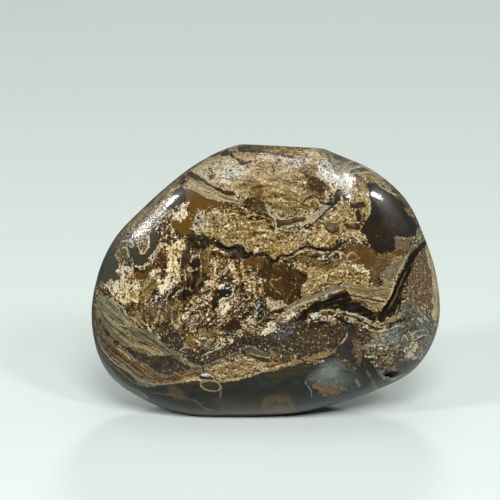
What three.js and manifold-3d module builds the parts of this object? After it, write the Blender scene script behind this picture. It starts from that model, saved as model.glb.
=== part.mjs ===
// A tumbled and polished pebble of stromatolite rock, standing on its worn lower edge.
// Units are millimetres. +Z is up, the broad polished face looks along -Y, and the origin is on the
// surface that the pebble stands on, under the middle of its outline.
import * as THREE from "three";
import { mergeVertices } from "three/addons/utils/BufferGeometryUtils.js";
import Module from "manifold-3d";

// Driving dimensions.
const HEART_HEIGHT = 18.5; // height of the widest level's centre
const FRONT_BULGE = 12.3; // from the rim's plane to the front face
const BACK_BULGE = 12.5; // from the rim's plane to the back face
const FACE_FLATNESS = 2.5; // 2 is an ellipsoid, more gives broad faces and a rounder shoulder
const SHOULDER = 2.15; // how blunt the rim is
const LEAN_RIGHT = 0.08; // the right-hand side is this share thicker
const LEAN_TOP = -0.05; // and the top this share thinner
const SURFACE_DETAIL = 16; // each face of the first icosahedron is cut in (n + 1) squared triangles

// Distance from the heart to the rim, every 15 degrees from +X towards +Z.
const RIM_RADII = [
  23.9, 22.9, 22.5, 21.4, 20.2, 20.1, 19.6, 19.2, 18.8, 18.8, 19.7, 21.7,
  23.4, 24.9, 25.5, 23.8, 21.8, 19.8, 19.0, 19.2, 19.9, 21.7, 24.3, 24.9,
];

// The flat worn across the top: its outward direction, leaning back, and its distance from the origin.
const TOP_FLAT = new THREE.Vector3(0.052, 0.172, 0.984).normalize();
const TOP_FLAT_DISTANCE = 36.9;
const TOP_FLAT_EDGE = 0.12; // softness of the flat's worn edge

// Soft swellings and hollows of the worn skin: x, z, face (-1 front, 1 back), reach and rise.
const UNDULATIONS = [
  { x: 8.4, z: 35.6, face: -1, reach: 1.9, rise: 0.32 }, // twin knobs on the upper right shoulder
  { x: 11.0, z: 34.8, face: -1, reach: 1.5, rise: 0.26 },
  { x: 12.2, z: 33.0, face: -1, reach: 1.7, rise: -0.34 },
  { x: 13.6, z: 31.8, face: -1, reach: 1.2, rise: 0.24 },
  { x: 15.4, z: 31.8, face: -1, reach: 2.6, rise: 0.22 }, // the dark lens stands a little proud
  { x: -12.6, z: 31.2, face: -1, reach: 2.8, rise: 0.26 },
  { x: 0.8, z: 36.6, face: -1, reach: 2.6, rise: 0.18 },
  { x: -6.0, z: 12.5, face: -1, reach: 5.5, rise: -0.35 }, // shallow hollow low on the front
  { x: 9.0, z: 21.0, face: -1, reach: 6.0, rise: 0.25 },
  { x: 18.5, z: 12.0, face: -1, reach: 3.0, rise: 0.3 },
  { x: -9.0, z: 24.0, face: 1, reach: 6.5, rise: 0.5 },
  { x: 6.5, z: 12.0, face: 1, reach: 5.0, rise: -0.5 },
  { x: 12.0, z: 27.0, face: 1, reach: 4.5, rise: 0.35 },
  { x: -4.0, z: 33.0, face: 1, reach: 3.0, rise: -0.3 },
];
const RIM_FADE = 3.0; // undulations fade out this close to the rim's plane

// The open vug near the lower right of the front: its middle and half sizes.
const VUG_AT = new THREE.Vector3(17.3, -7.1, 6.75);
const VUG_HALF = new THREE.Vector3(1.1, 0.7, 0.6);
const VUG_TILT = 0.12; // radians, down to the right

const STONE_COLOUR = 0x5a4528;
const STONE_ROUGHNESS = 0.3;

// Rim distance at an angle: a closed curve through RIM_RADII.
function rimRadius(angle) {
  const count = RIM_RADII.length;
  const turn = (((angle / (2 * Math.PI)) * count) % count + count) % count;
  const i = Math.floor(turn);
  const f = turn - i;
  const [a, b, c, d] = [-1, 0, 1, 2].map((k) => RIM_RADII[(i + k + count) % count]);
  return (
    0.5 *
    (2 * b + (c - a) * f + (2 * a - 5 * b + 4 * c - d) * f * f + (3 * b - a - 3 * c + d) * f * f * f)
  );
}

// How far the worn skin stands out at a point that lies on the given face.
function undulation(x, y, z) {
  const shown = Math.min(1, Math.abs(y) / RIM_FADE);
  const fade = shown * shown * (3 - 2 * shown);
  let out = 0;
  for (const u of UNDULATIONS) {
    if (Math.sign(y) !== u.face) continue;
    const apart = ((x - u.x) ** 2 + (z - u.z) ** 2) / (u.reach * u.reach);
    out += u.rise * Math.exp(-apart) * fade;
  }
  return out;
}

// Moves a point of the unit sphere to the pebble's skin.
function skinPoint(direction) {
  const angle = Math.atan2(direction.z, direction.x);
  const rise = Math.min(1, Math.abs(direction.y));
  const across = Math.pow(Math.sqrt(1 - rise * rise), 2 / FACE_FLATNESS);
  const depth = Math.pow(rise, 2 / SHOULDER);
  const bulge = direction.y < 0 ? FRONT_BULGE : BACK_BULGE;
  const lean = 1 + across * (LEAN_RIGHT * Math.cos(angle) + LEAN_TOP * Math.sin(angle));
  const reach = rimRadius(angle) * across;
  const point = new THREE.Vector3(
    reach * Math.cos(angle),
    Math.sign(direction.y) * bulge * depth * lean,
    reach * Math.sin(angle) + HEART_HEIGHT,
  );
  const outward = point.clone().sub(new THREE.Vector3(0, 0, HEART_HEIGHT)).normalize();
  point.addScaledVector(outward, undulation(point.x, point.y, point.z));

  const above = point.dot(TOP_FLAT) - TOP_FLAT_DISTANCE;
  const kept = above > 0
    ? -TOP_FLAT_EDGE * Math.log1p(Math.exp(-above / TOP_FLAT_EDGE))
    : above - TOP_FLAT_EDGE * Math.log1p(Math.exp(above / TOP_FLAT_EDGE));
  point.addScaledVector(TOP_FLAT, kept - above);
  point.z = Math.max(point.z, 0); // the flat that it stands on
  return point;
}

function closedGeometry(geometry) {
  geometry.deleteAttribute("normal");
  geometry.deleteAttribute("uv");
  return mergeVertices(geometry, 1e-4);
}

function skinGeometry() {
  const ball = closedGeometry(new THREE.IcosahedronGeometry(1, SURFACE_DETAIL));
  const places = ball.getAttribute("position");
  const direction = new THREE.Vector3();
  for (let i = 0; i < places.count; i += 1) {
    direction.fromBufferAttribute(places, i).normalize();
    const point = skinPoint(direction);
    places.setXYZ(i, point.x, point.y, point.z);
  }
  return ball;
}

function vugGeometry() {
  return closedGeometry(new THREE.IcosahedronGeometry(1, 2))
    .scale(VUG_HALF.x, VUG_HALF.y, VUG_HALF.z)
    .rotateY(VUG_TILT)
    .translate(VUG_AT.x, VUG_AT.y, VUG_AT.z);
}

const wasm = await Module();
wasm.setup();

function solidOf(geometry) {
  return new wasm.Manifold(
    new wasm.Mesh({
      numProp: 3,
      vertProperties: new Float32Array(geometry.getAttribute("position").array),
      triVerts: new Uint32Array(geometry.index.array),
    }),
  );
}

function geometryOf(solid) {
  const mesh = solid.getMesh();
  return new THREE.BufferGeometry()
    .setAttribute("position", new THREE.BufferAttribute(mesh.vertProperties, 3))
    .setIndex(new THREE.BufferAttribute(mesh.triVerts, 1));
}

function stromatolitePebble() {
  const solid = solidOf(skinGeometry()).subtract(solidOf(vugGeometry()));
  const material = new THREE.MeshStandardMaterial({
    color: STONE_COLOUR,
    roughness: STONE_ROUGHNESS,
    metalness: 0,
  });
  const pebble = new THREE.Mesh(geometryOf(solid), material);
  pebble.name = "stromatolite_pebble";
  return pebble;
}

const part = new THREE.Group();
part.add(stromatolitePebble());

export default part;
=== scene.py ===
import math

import bmesh
import bpy
import numpy as np
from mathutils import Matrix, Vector, noise


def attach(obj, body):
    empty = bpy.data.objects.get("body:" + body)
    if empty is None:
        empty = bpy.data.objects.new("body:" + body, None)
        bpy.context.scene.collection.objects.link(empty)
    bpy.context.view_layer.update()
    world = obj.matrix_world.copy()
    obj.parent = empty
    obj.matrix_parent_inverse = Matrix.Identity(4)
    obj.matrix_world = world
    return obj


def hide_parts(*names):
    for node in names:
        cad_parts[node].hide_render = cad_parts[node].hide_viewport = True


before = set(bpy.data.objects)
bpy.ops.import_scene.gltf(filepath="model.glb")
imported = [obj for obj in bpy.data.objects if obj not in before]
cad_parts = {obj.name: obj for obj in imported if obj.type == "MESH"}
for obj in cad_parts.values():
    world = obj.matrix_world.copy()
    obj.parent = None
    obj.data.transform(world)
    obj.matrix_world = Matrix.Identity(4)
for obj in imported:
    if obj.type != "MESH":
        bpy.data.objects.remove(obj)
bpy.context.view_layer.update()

# ---------------------------------------------------------------------------
# The studio. A pale paper floor, soft lamps on both sides, behind and overhead, and small ones that only
# make highlights in the polish. A dark cloth, seen in reflections alone, keeps the stone's underside dark.
# The camera looks a little down on the stone.
# ---------------------------------------------------------------------------
MM = 0.001
FRAME_UNITS = 500.0  # the camera's frame is this many units wide and high
FOCAL_UNITS = 2887.5  # and its focal length this many
SENSOR_WIDTH = 36.0
CAMERA_DROP = math.radians(12.0)
CAMERA_DISTANCE = 400.0
CAMERA_AIM = np.array((-2.078, 0.0, 22.78))
LAMP_AIM = Vector((0, 0, 18))
FLOOR_HALF = 3000.0
FLOOR_COLOUR = (0.70, 0.765, 0.735)
ROOM_COLOUR = (0.84, 1.0, 0.92)
ROOM_LIGHT = 0.15

view_forward = np.array((0.0, math.cos(CAMERA_DROP), -math.sin(CAMERA_DROP)))
view_up = np.array((0.0, math.sin(CAMERA_DROP), math.cos(CAMERA_DROP)))
camera_place = CAMERA_AIM - view_forward * CAMERA_DISTANCE

camera_data = bpy.data.cameras.new("camera")
camera_data.sensor_width = SENSOR_WIDTH
camera_data.lens = FOCAL_UNITS / FRAME_UNITS * SENSOR_WIDTH
camera = bpy.data.objects.new("camera", camera_data)
camera.location = Vector(camera_place) * MM
camera.rotation_euler = (math.pi / 2 - CAMERA_DROP, 0.0, 0.0)
bpy.context.scene.collection.objects.link(camera)
bpy.context.scene.camera = camera
bpy.context.scene.view_settings.view_transform = "Standard"


def new_material(name):
    material = bpy.data.materials.new(name)
    material.use_nodes = True
    return material, material.node_tree


def wide_sheet(name, height=0.0):
    """A flat square that reaches far past the frame on every side."""
    mesh = bmesh.new()
    bmesh.ops.create_grid(mesh, x_segments=1, y_segments=1, size=FLOOR_HALF * MM)
    bmesh.ops.translate(mesh, verts=mesh.verts, vec=(0, 0, height * MM))
    data = bpy.data.meshes.new(name)
    mesh.to_mesh(data)
    mesh.free()
    sheet = bpy.data.objects.new(name, data)
    bpy.context.scene.collection.objects.link(sheet)
    return sheet


floor = wide_sheet("floor")
floor_material, floor_tree = new_material("pale_paper")
paper = floor_tree.nodes["Principled BSDF"]
paper.inputs["Base Color"].default_value = (*FLOOR_COLOUR, 1.0)
paper.inputs["Roughness"].default_value = 0.9
paper.inputs["Specular IOR Level"].default_value = 0.2
floor.data.materials.append(floor_material)


def lamp(name, bearing, height_angle, distance, size, watts):
    """A round lamp aimed at the stone. The bearing is seen from above, positive to the camera's right."""
    data = bpy.data.lights.new(name, "AREA")
    data.shape = "DISK"
    data.size = size * MM
    data.energy = watts
    bearing, height_angle = math.radians(bearing), math.radians(height_angle)
    away = Vector((
        math.sin(bearing) * math.cos(height_angle),
        -math.cos(bearing) * math.cos(height_angle),
        math.sin(height_angle),
    ))
    light = bpy.data.objects.new(name, data)
    light.location = (LAMP_AIM + away * distance) * MM
    light.rotation_euler = away.to_track_quat("Z", "Y").to_euler()
    bpy.context.scene.collection.objects.link(light)
    return light


lamp("left_lamp", -48, 27, 700, 120, 1.65).visible_glossy = False
lamp("right_lamp", 30, 32, 700, 120, 1.45).visible_glossy = False
lamp("back_lamp", 176, 27, 1600, 240, 8.4).visible_glossy = False
lamp("top_panel", 180, 80, 700, 520, 0.6)
lamp("front_fill", 4, 36, 1300, 500, 14.0).visible_glossy = False
lamp("left_glint", -112, 37, 700, 120, 2.6).visible_diffuse = False
lamp("right_glint", 105, 43, 700, 150, 4.2).visible_diffuse = False
lamp("knob_glint", 86, 60, 700, 80, 1.2).visible_diffuse = False
lamp("crest_glint", -158, 71, 700, 60, 0.5).visible_diffuse = False

world = bpy.data.worlds.new("studio")
bpy.context.scene.world = world
world.use_nodes = True
room = world.node_tree.nodes["Background"]
room.inputs["Color"].default_value = (*ROOM_COLOUR, 1.0)
room.inputs["Strength"].default_value = ROOM_LIGHT

CLOTH_NEAR = 5.0  # how far from the middle the dark cloth begins, and where it is darkest
CLOTH_DARK = 55.0
CLOTH_MOST = 0.95
CLOTH_LIFT = 0.2

card = wide_sheet("dark_cloth", CLOTH_LIFT)
card_material, card_tree = new_material("black_cloth")
cloth = card_tree.nodes["Principled BSDF"]
cloth.inputs["Base Color"].default_value = (0.01, 0.01, 0.01, 1.0)
cloth_place = card_tree.nodes.new("ShaderNodeVectorMath")
cloth_place.operation = "LENGTH"
card_tree.links.new(card_tree.nodes.new("ShaderNodeTexCoord").outputs["Object"], cloth_place.inputs[0])
cloth_edge = card_tree.nodes.new("ShaderNodeMapRange")
cloth_edge.inputs["From Min"].default_value = CLOTH_NEAR * MM
cloth_edge.inputs["From Max"].default_value = CLOTH_DARK * MM
cloth_edge.inputs["To Max"].default_value = CLOTH_MOST
card_tree.links.new(cloth_place.outputs["Value"], cloth_edge.inputs["Value"])
card_tree.links.new(cloth_edge.outputs["Result"], cloth.inputs["Alpha"])
card.data.materials.append(card_material)
card.visible_camera = False
card.visible_diffuse = False
card.visible_shadow = False

# ---------------------------------------------------------------------------
# The pebble's body. One piece of banded chert, tumbled round and polished, with a flat worn across its
# top and a small one underneath that it stands on. Millimetres, the same form as the solid.
# ---------------------------------------------------------------------------
HEART_HEIGHT = 18.5
FRONT_BULGE = 12.3
BACK_BULGE = 12.5
FACE_FLATNESS = 2.5
SHOULDER = 2.15
LEAN_RIGHT = 0.08
LEAN_TOP = -0.05
RIM_RADII = np.array((
    23.9, 22.9, 22.5, 21.4, 20.2, 20.1, 19.6, 19.2, 18.8, 18.8, 19.7, 21.7,
    23.4, 24.9, 25.5, 23.8, 21.8, 19.8, 19.0, 19.2, 19.9, 21.7, 24.3, 24.9,
))
TOP_FLAT = np.array((0.052, 0.172, 0.984))
TOP_FLAT_DISTANCE = 36.9
TOP_FLAT_EDGE = 0.12
UNDULATIONS = (  # x, z, face (-1 front, 1 back), reach and rise
    (8.4, 35.6, -1, 1.9, 0.32),
    (11.0, 34.8, -1, 1.5, 0.26),
    (12.2, 33.0, -1, 1.7, -0.34),
    (13.6, 31.8, -1, 1.2, 0.24),
    (15.4, 31.8, -1, 2.6, 0.22),
    (-12.6, 31.2, -1, 2.8, 0.26),
    (0.8, 36.6, -1, 2.6, 0.18),
    (-6.0, 12.5, -1, 5.5, -0.35),
    (9.0, 21.0, -1, 6.0, 0.25),
    (18.5, 12.0, -1, 3.0, 0.3),
    (-9.0, 24.0, 1, 6.5, 0.5),
    (6.5, 12.0, 1, 5.0, -0.5),
    (12.0, 27.0, 1, 4.5, 0.35),
    (-4.0, 33.0, 1, 3.0, -0.3),
)
RIM_FADE = 3.0
VUG_AT = np.array((17.3, -7.1, 6.75))
VUG_HALF = np.array((1.1, 0.7, 0.6))
VUG_TILT = 0.12
FRONT_CROWDING = 1.8  # how much closer the mesh's points lie on the front, which has the finest pattern
BALL_SUBDIVISIONS = 4
EDGE_CUTS = 11

ball = bmesh.new()
bmesh.ops.create_icosphere(ball, subdivisions=BALL_SUBDIVISIONS, radius=1.0)
bmesh.ops.subdivide_edges(ball, edges=ball.edges[:], cuts=EDGE_CUTS, use_grid_fill=True)
body_data = bpy.data.meshes.new("polished_pebble")
ball.to_mesh(body_data)
ball.free()


def between(a, b, c, d, f):
    """A smooth curve's value at the share f of the way from b to c, with a before them and d after."""
    return 0.5 * (2 * b + (c - a) * f + (2 * a - 5 * b + 4 * c - d) * f**2 + (3 * b - a - 3 * c + d) * f**3)


def eased(share):
    """The same share, starting and ending gently."""
    return share * share * (3 - 2 * share)


def rim_radius(angle):
    """Distance from the heart to the rim: a closed curve through RIM_RADII."""
    turn = np.mod(angle / (2 * math.pi), 1.0) * len(RIM_RADII)
    i = np.floor(turn).astype(int)
    f = turn - i
    return between(*(RIM_RADII[(i + k) % len(RIM_RADII)] for k in (-1, 0, 1, 2)), f)


def skin(points):
    """Carries points of a ball to the pebble's skin, in millimetres."""
    points = points / np.linalg.norm(points, axis=1, keepdims=True)
    flat_radius = np.hypot(points[:, 0], points[:, 2])
    crowded = 2 * np.arctan(np.tan(np.arctan2(flat_radius, -points[:, 1]) / 2) / FRONT_CROWDING)
    angle = np.arctan2(points[:, 2], points[:, 0])
    share = np.sin(crowded)
    side = np.where(crowded < math.pi / 2, -1.0, 1.0)
    bulge = np.where(side < 0, FRONT_BULGE, BACK_BULGE)
    lean = 1 + share * (LEAN_RIGHT * np.cos(angle) + LEAN_TOP * np.sin(angle))
    deep = np.clip(1 - share**FACE_FLATNESS, 0, 1) ** (1 / SHOULDER)
    reach = rim_radius(angle) * share
    place = np.column_stack((reach * np.cos(angle), side * bulge * deep * lean, reach * np.sin(angle)))
    fade = eased(np.clip(np.abs(place[:, 1]) / RIM_FADE, 0, 1))
    outward = place / np.linalg.norm(place, axis=1, keepdims=True)
    place[:, 2] += HEART_HEIGHT
    rise = np.zeros(len(place))
    for x, z, face, reach, height in UNDULATIONS:
        apart = ((place[:, 0] - x) ** 2 + (place[:, 2] - z) ** 2) / reach**2
        rise += np.where(side == face, height * np.exp(-apart) * fade, 0.0)
    place += outward * rise[:, None]
    flat = TOP_FLAT / np.linalg.norm(TOP_FLAT)
    above = place @ flat - TOP_FLAT_DISTANCE
    kept = -TOP_FLAT_EDGE * np.logaddexp(0.0, -above / TOP_FLAT_EDGE)
    place += flat * (kept - above)[:, None]
    place[:, 2] = np.maximum(place[:, 2], 0.0)
    return place


def push_in_vug(points):
    """Carries the skin in front of the small open vug back to the vug's wall."""
    off = points - VUG_AT
    along = off[:, 0] * math.cos(VUG_TILT) - off[:, 2] * math.sin(VUG_TILT)
    up = off[:, 0] * math.sin(VUG_TILT) + off[:, 2] * math.cos(VUG_TILT)
    left = 1 - (along / VUG_HALF[0]) ** 2 - (up / VUG_HALF[2]) ** 2
    wall = VUG_AT[1] + VUG_HALF[1] * np.sqrt(np.clip(left, 0, None))
    held = (left > 0) & (points[:, 1] < wall) & (points[:, 1] > VUG_AT[1] - VUG_HALF[1] - 1)
    points[held, 1] = wall[held]


count = len(body_data.vertices)
flat_list = np.empty(count * 3)
body_data.vertices.foreach_get("co", flat_list)
body = skin(flat_list.reshape(-1, 3))
push_in_vug(body)
body_data.vertices.foreach_set("co", (body * MM).ravel())
body_data.update()
body_data.shade_smooth()
pebble = bpy.data.objects.new("polished_pebble", body_data)
bpy.context.scene.collection.objects.link(pebble)
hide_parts("stromatolite_pebble")
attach(pebble, "root")

# ---------------------------------------------------------------------------
# How the pattern lies in the stone. The layers run through it from front to back, so a marking is drawn
# once, in frame units, and shows on both faces. Towards the back the layers twist round and wander off.
# ---------------------------------------------------------------------------
FINE_WANDER = (5.0, 0.8)  # length and reach of the wandering of every edge, in frame units
BROAD_WANDER = (15.0, 1.3)
HIDDEN_WANDER = (60.0, 22.0)
HIDDEN_GAIN = 1.4  # how soon the back's own course sets in behind the rim
HIDDEN_TURN = -0.5  # radians by which the layers have twisted round at the back
WANDER_SEED = 4
BROAD_SHIFT, HIDDEN_SHIFT, BAY_SHIFT = 40.0, 90.0, 150.0  # these keep the four kinds of noise apart
PATTERN_HEART = np.array((265.0, 285.0))
UNITS_PER_MM = 7.22
BAY_LENGTH = 8.0  # the bays and tongues of a sugary edge, in frame units
BAY_REACH = 5.0


def wander(points, length, reach):
    """A smooth random shift across the camera's view for every point of the skin."""
    scale = UNITS_PER_MM / length
    shifts = [noise.noise_vector(Vector(point) * scale)[:2] for point in points]
    return np.array(shifts) * reach


def seen_place(points):
    """Where the camera shows each point, in frame units."""
    away = points - camera_place
    depth = away @ view_forward
    across = away[:, 0] / depth * FOCAL_UNITS
    down = -(away @ view_up) / depth * FOCAL_UNITS
    return np.column_stack((across, down)) + FRAME_UNITS / 2


normals = np.empty(count * 3)
body_data.vertices.foreach_get("normal", normals)
to_camera = camera_place - body
to_camera /= np.linalg.norm(to_camera, axis=1, keepdims=True)
facing = np.sum(normals.reshape(-1, 3) * to_camera, axis=1)
hidden = np.clip(-facing * HIDDEN_GAIN, 0.0, 1.0)[:, None]
noise.seed_set(WANDER_SEED)
place = seen_place(body)
place += wander(body, *FINE_WANDER) + wander(body + BROAD_SHIFT, *BROAD_WANDER)
turn = hidden[:, 0] * HIDDEN_TURN
off_heart = place - PATTERN_HEART
place = PATTERN_HEART + np.column_stack((
    off_heart[:, 0] * np.cos(turn) - off_heart[:, 1] * np.sin(turn),
    off_heart[:, 0] * np.sin(turn) + off_heart[:, 1] * np.cos(turn),
))
place += hidden * wander(body + HIDDEN_SHIFT, *HIDDEN_WANDER)
bays = np.array([noise.noise(Vector(point) * UNITS_PER_MM / BAY_LENGTH) for point in body + BAY_SHIFT])

STREAMS = (  # a place in frame units, and how steeply the stone's grain runs down to the right there
    (128, 222, -42), (118, 262, 65), (128, 286, 70), (150, 286, -48), (175, 255, 84), (192, 280, 80),
    (172, 312, 105), (202, 308, -45), (232, 300, -30), (258, 284, 75), (226, 332, -28), (182, 342, 58),
    (112, 318, 45), (140, 350, 35), (170, 378, 8), (230, 368, -14), (262, 340, -18), (310, 340, -8),
    (230, 180, 22), (290, 180, 16), (230, 226, -6), (290, 238, 4), (330, 228, -30), (335, 278, -12),
    (352, 200, 80), (372, 172, 32), (400, 196, 42), (398, 246, -25), (380, 266, -20), (434, 290, -78),
    (398, 350, -14), (340, 372, 40), (282, 280, 55), (240, 405, 4), (360, 300, 12),
)
STREAM_SPREAD = 12.0


def stream_turns():
    """The grain's direction at every point, as the cosine and sine of twice its dip."""
    turns = np.zeros((count, 3))
    for x, y, dip in STREAMS:
        weight = (np.sum((place - (x, y)) ** 2, axis=1) + STREAM_SPREAD**2) ** -1.5
        twice = math.radians(2 * dip)
        turns += weight[:, None] * np.array((math.cos(twice), math.sin(twice), 0.0))
    return turns / np.linalg.norm(turns, axis=1, keepdims=True)


SEEN_LIGHT = 1.6  # a lit front shows this many times its own colour
SEEN_GLARE = 0.016  # and this much reflected light on top
LEAST_KEPT = 0.35  # the share of a very dark colour that is kept, whatever the reflected light
LUMINANCE = (0.2126, 0.7152, 0.0722)


def tone(red, green, blue):
    """The stone's own colour, from how it shows on the lit front in steps of 0 to 255."""
    seen = np.array((red, green, blue)) / 255.0
    linear = np.where(seen <= 0.04045, seen / 12.92, ((seen + 0.055) / 1.055) ** 2.4)
    level = linear @ LUMINANCE
    glare = SEEN_GLARE * (linear / level + 1.0) / 2
    return np.maximum(linear - glare, linear * LEAST_KEPT) / SEEN_LIGHT


grounds = []
RAGGED_LEAST = 0.35  # how far an edge strays, in frame units, between smooth grounds
RAGGED_SUGAR = 1.8  # and how much further in full sugar
SOFT_MARK = 0.25  # added to the ground's number where the edge is soft and has no seam


def rock(colour, grain, mottle, lamina=0.0):
    """One kind of ground: its colour, and how strongly grains, clouds and thin layers mark it."""
    grounds.append((tone(*colour), (grain, mottle, lamina)))
    return len(grounds) - 1


CURVE_STEPS = 5


def curve_through(points, closed=False):
    """A smooth line through a few points."""
    points = np.array(points, dtype=float)
    if closed:
        a, b, c, d = (np.roll(points, shift, axis=0) for shift in (1, 0, -1, -2))
    else:
        padded = np.vstack((points[:1], points, points[-1:]))
        a, b, c, d = padded[:-3], padded[1:-2], padded[2:-1], padded[3:]
    f = np.arange(CURVE_STEPS)[None, :, None] / CURVE_STEPS
    line = between(*(each[:, None, :] for each in (a, b, c, d)), f)
    return np.vstack((line.reshape(-1, 2), points[:1] if closed else points[-1:]))


MEASURED_DEPTH = 16.0  # distances beyond this are left as far off
FAR_OFF = 1e6
TINY = 1e-6


def measure(line, reach):
    """The skin's points near a line: their numbers, distance across, share along, and which it encloses."""
    near = np.flatnonzero(np.all((place > line.min(0) - reach) & (place < line.max(0) + reach), axis=1))
    near = near[np.argsort(place[near, 1], kind="stable")]
    spots = place[near]
    heights = spots[:, 1].copy()
    across = np.full(len(near), FAR_OFF)
    along = np.zeros(len(near))
    enclosed = np.zeros(len(near), dtype=bool)
    length = 0.0
    for start, end in zip(line[:-1], line[1:]):
        step = end - start
        size = max(np.hypot(*step), TINY)
        low, high = sorted((start[1], end[1]))
        rows = slice(*np.searchsorted(heights, (low - MEASURED_DEPTH, high + MEASURED_DEPTH)))
        apart = spots[rows] - start
        share = np.clip(apart @ step / size**2, 0.0, 1.0)
        off = apart - share[:, None] * step
        gap = np.hypot(off[:, 0], off[:, 1])
        closer = gap < np.abs(across[rows])
        side = np.where(step[0] * off[:, 1] > step[1] * off[:, 0], 1.0, -1.0)
        across[rows][closer] = (gap * side)[closer]
        along[rows][closer] = (length + share * size)[closer]
        passed = slice(*np.searchsorted(heights, (low, high)))
        level = (heights[passed] - start[1]) / (step[1] or TINY)
        enclosed[passed] ^= spots[passed, 0] < start[0] + step[0] * level
        length += size
    return near, across, along / length, enclosed


FILL_MARGIN = 2.6  # fills nearer than twice this lie in different layers
FILL_REACH = 6.0
FILL_DEPTH = 13.0  # a sugary fill has holes where it is less deep than this
SMOOTH_BAYS = 0.2  # the bays of a wholly smooth ground, as a share of full sugar's
fill_layers = []


def free_layer(layers, name, near, empty):
    """The lowest layer above all markings at these points, which it keeps for the named one."""
    level = 0
    for i, layer in enumerate(layers):
        if np.any(layer["taken"][near]):
            level = i + 1
    if level == len(layers):
        layers.append({"names": [], "laid": np.tile(empty, (count, 1)), "taken": np.zeros(count, dtype=bool)})
    layers[level]["names"].append(name)
    layers[level]["taken"][near] = True
    return layers[level]


def lay_fill(name, ground, near, inside, phase, soft=1.0):
    """Puts a fill in its layer. A soft one fades out grain by grain."""
    sugar = grounds[ground][1][0]
    inside = inside + bays[near] * BAY_REACH * (SMOOTH_BAYS + sugar)
    layer = free_layer(fill_layers, name, near[inside > -FILL_MARGIN], (0.0, -FILL_REACH, 0.0))
    layer.setdefault("inside", np.full(count, -FILL_REACH))
    wins = inside > layer["inside"][near]
    chosen = near[wins]
    inside = np.clip(inside[wins], -FILL_REACH, FILL_DEPTH)
    ragged = (RAGGED_LEAST + RAGGED_SUGAR * sugar) * soft
    layer["inside"][chosen] = inside
    number = ground + (SOFT_MARK if soft > 1 else 0.0)
    layer["laid"][chosen] = np.column_stack((np.full(len(chosen), number), inside / ragged, phase[wins]))


def depth_in(outline, reach):
    """The skin's points near a closed area, and how deep they lie in it, less than nothing outside."""
    near, across, _, enclosed = measure(curve_through(outline, closed=True), reach)
    return near, np.abs(across) * np.where(enclosed, 1.0, -1.0)


def patch(name, ground, outline, dip=0.0, soft=1.0):
    """A closed area. The dip turns its thin layers, in degrees, positive down to the right."""
    near, inside = depth_in(outline, FILL_REACH)
    turn = math.radians(dip)
    phase = place[near] @ np.array((-math.sin(turn), math.cos(turn)))
    lay_fill(name, ground, near, inside, phase, soft)


def band(name, ground, points, widths, soft=1.0):
    """A band along a line, with its widths spread evenly from end to end. Its thin layers follow it."""
    line = curve_through(points)
    widths = np.array(widths, dtype=float)
    near, across, along, _ = measure(line, FILL_REACH + widths.max() / 2)
    width = np.interp(along, np.linspace(0, 1, len(widths)), widths)
    lay_fill(name, ground, near, width / 2 - np.abs(across), across, soft)


VEIN_MARGIN = 2.6
VEIN_TAPER = 0.12  # the share of a vein's length over which each end narrows
VEIN_EDGE = 0.4  # half the width of a vein's soft edge
VEIN_SEEN = 1.6  # a vein shows no further out than this
NO_VEIN = (0.0, -2.0, 9.0)
vein_layers = []
vein_colours = []


def vein(name, colour, points, width=1.5, closed=False):
    """A thin line. It narrows to nothing at both ends unless it is closed."""
    line = curve_through(points, closed)
    near, across, along, _ = measure(line, width / 2 + VEIN_MARGIN)
    close = np.abs(across) < width / 2 + VEIN_MARGIN
    near, across, along = near[close], across[close], along[close]
    taper = np.clip(np.minimum(along, 1 - along) / VEIN_TAPER, 1.0 if closed else 0.0, 1.0) ** 0.5
    half = (width / 2 + VEIN_EDGE) * taper - VEIN_EDGE
    half = np.where(np.abs(across) < width / 2 + VEIN_SEEN, half, NO_VEIN[1])
    if colour not in vein_colours:
        vein_colours.append(colour)
    layer = free_layer(vein_layers, name, near, NO_VEIN)
    layer["laid"][near] = np.column_stack((np.full(len(near), vein_colours.index(colour)), half, across))


VEIL_MARGIN = 3.0
veil_layers = []
veil_colours = []


def veil(name, colour, outline, share=0.8, fade=4.0):
    """A soft cloud of colour under the polish, with no edge."""
    near, inside = depth_in(outline, fade + VEIL_MARGIN)
    kept = inside > -fade - VEIL_MARGIN
    near, inside = near[kept], inside[kept]
    shown = share * eased(np.clip(inside / (2 * fade) + 0.5, 0.0, 1.0))
    layer = free_layer(veil_layers, name, near, (0.0, 0.0, 0.0))
    layer["laid"][near] = np.column_stack((np.full(len(near), len(veil_colours)), shown, np.zeros(len(near))))
    veil_colours.append(colour)


# ---------------------------------------------------------------------------
# The ground of the whole stone: sugary chert, gold to brown, grown through by dark iron stains. All other
# areas lie in it.
# ---------------------------------------------------------------------------
PINK_SUGAR = rock((182, 162, 126), grain=0.95, mottle=0.75)
GREY_SUGAR = rock((208, 206, 194), grain=0.90, mottle=0.70)
WHITE_SUGAR = rock((224, 210, 180), grain=1.40, mottle=1.20)
GOLD_SUGAR = rock((158, 132, 84), grain=1.10, mottle=0.90)
GOLD_BROWN = rock((120, 96, 56), grain=0.90, mottle=0.90)
BROWN_SUGAR = rock((94, 70, 36), grain=1.20, mottle=1.20)
RED_SUGAR = rock((122, 100, 76), grain=1.00, mottle=0.35)
AMBER = rock((104, 75, 32), grain=0.25, mottle=0.35)
CLEAR_AMBER = rock((110, 80, 34), grain=0.10, mottle=0.30)
CHOCOLATE = rock((74, 54, 32), grain=0.45, mottle=0.25)
DARK_CHERT = rock((54, 40, 24), grain=0.45, mottle=0.50)
BLACK_CHERT = rock((52, 47, 38), grain=0.20, mottle=0.25)
CHARCOAL = rock((74, 70, 54), grain=0.20, mottle=0.25)

FULL_REACH = 400.0
everywhere = np.arange(count)
lay_fill("ground", BROWN_SUGAR, everywhere, np.full(count, FULL_REACH), place[:, 1])

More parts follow.
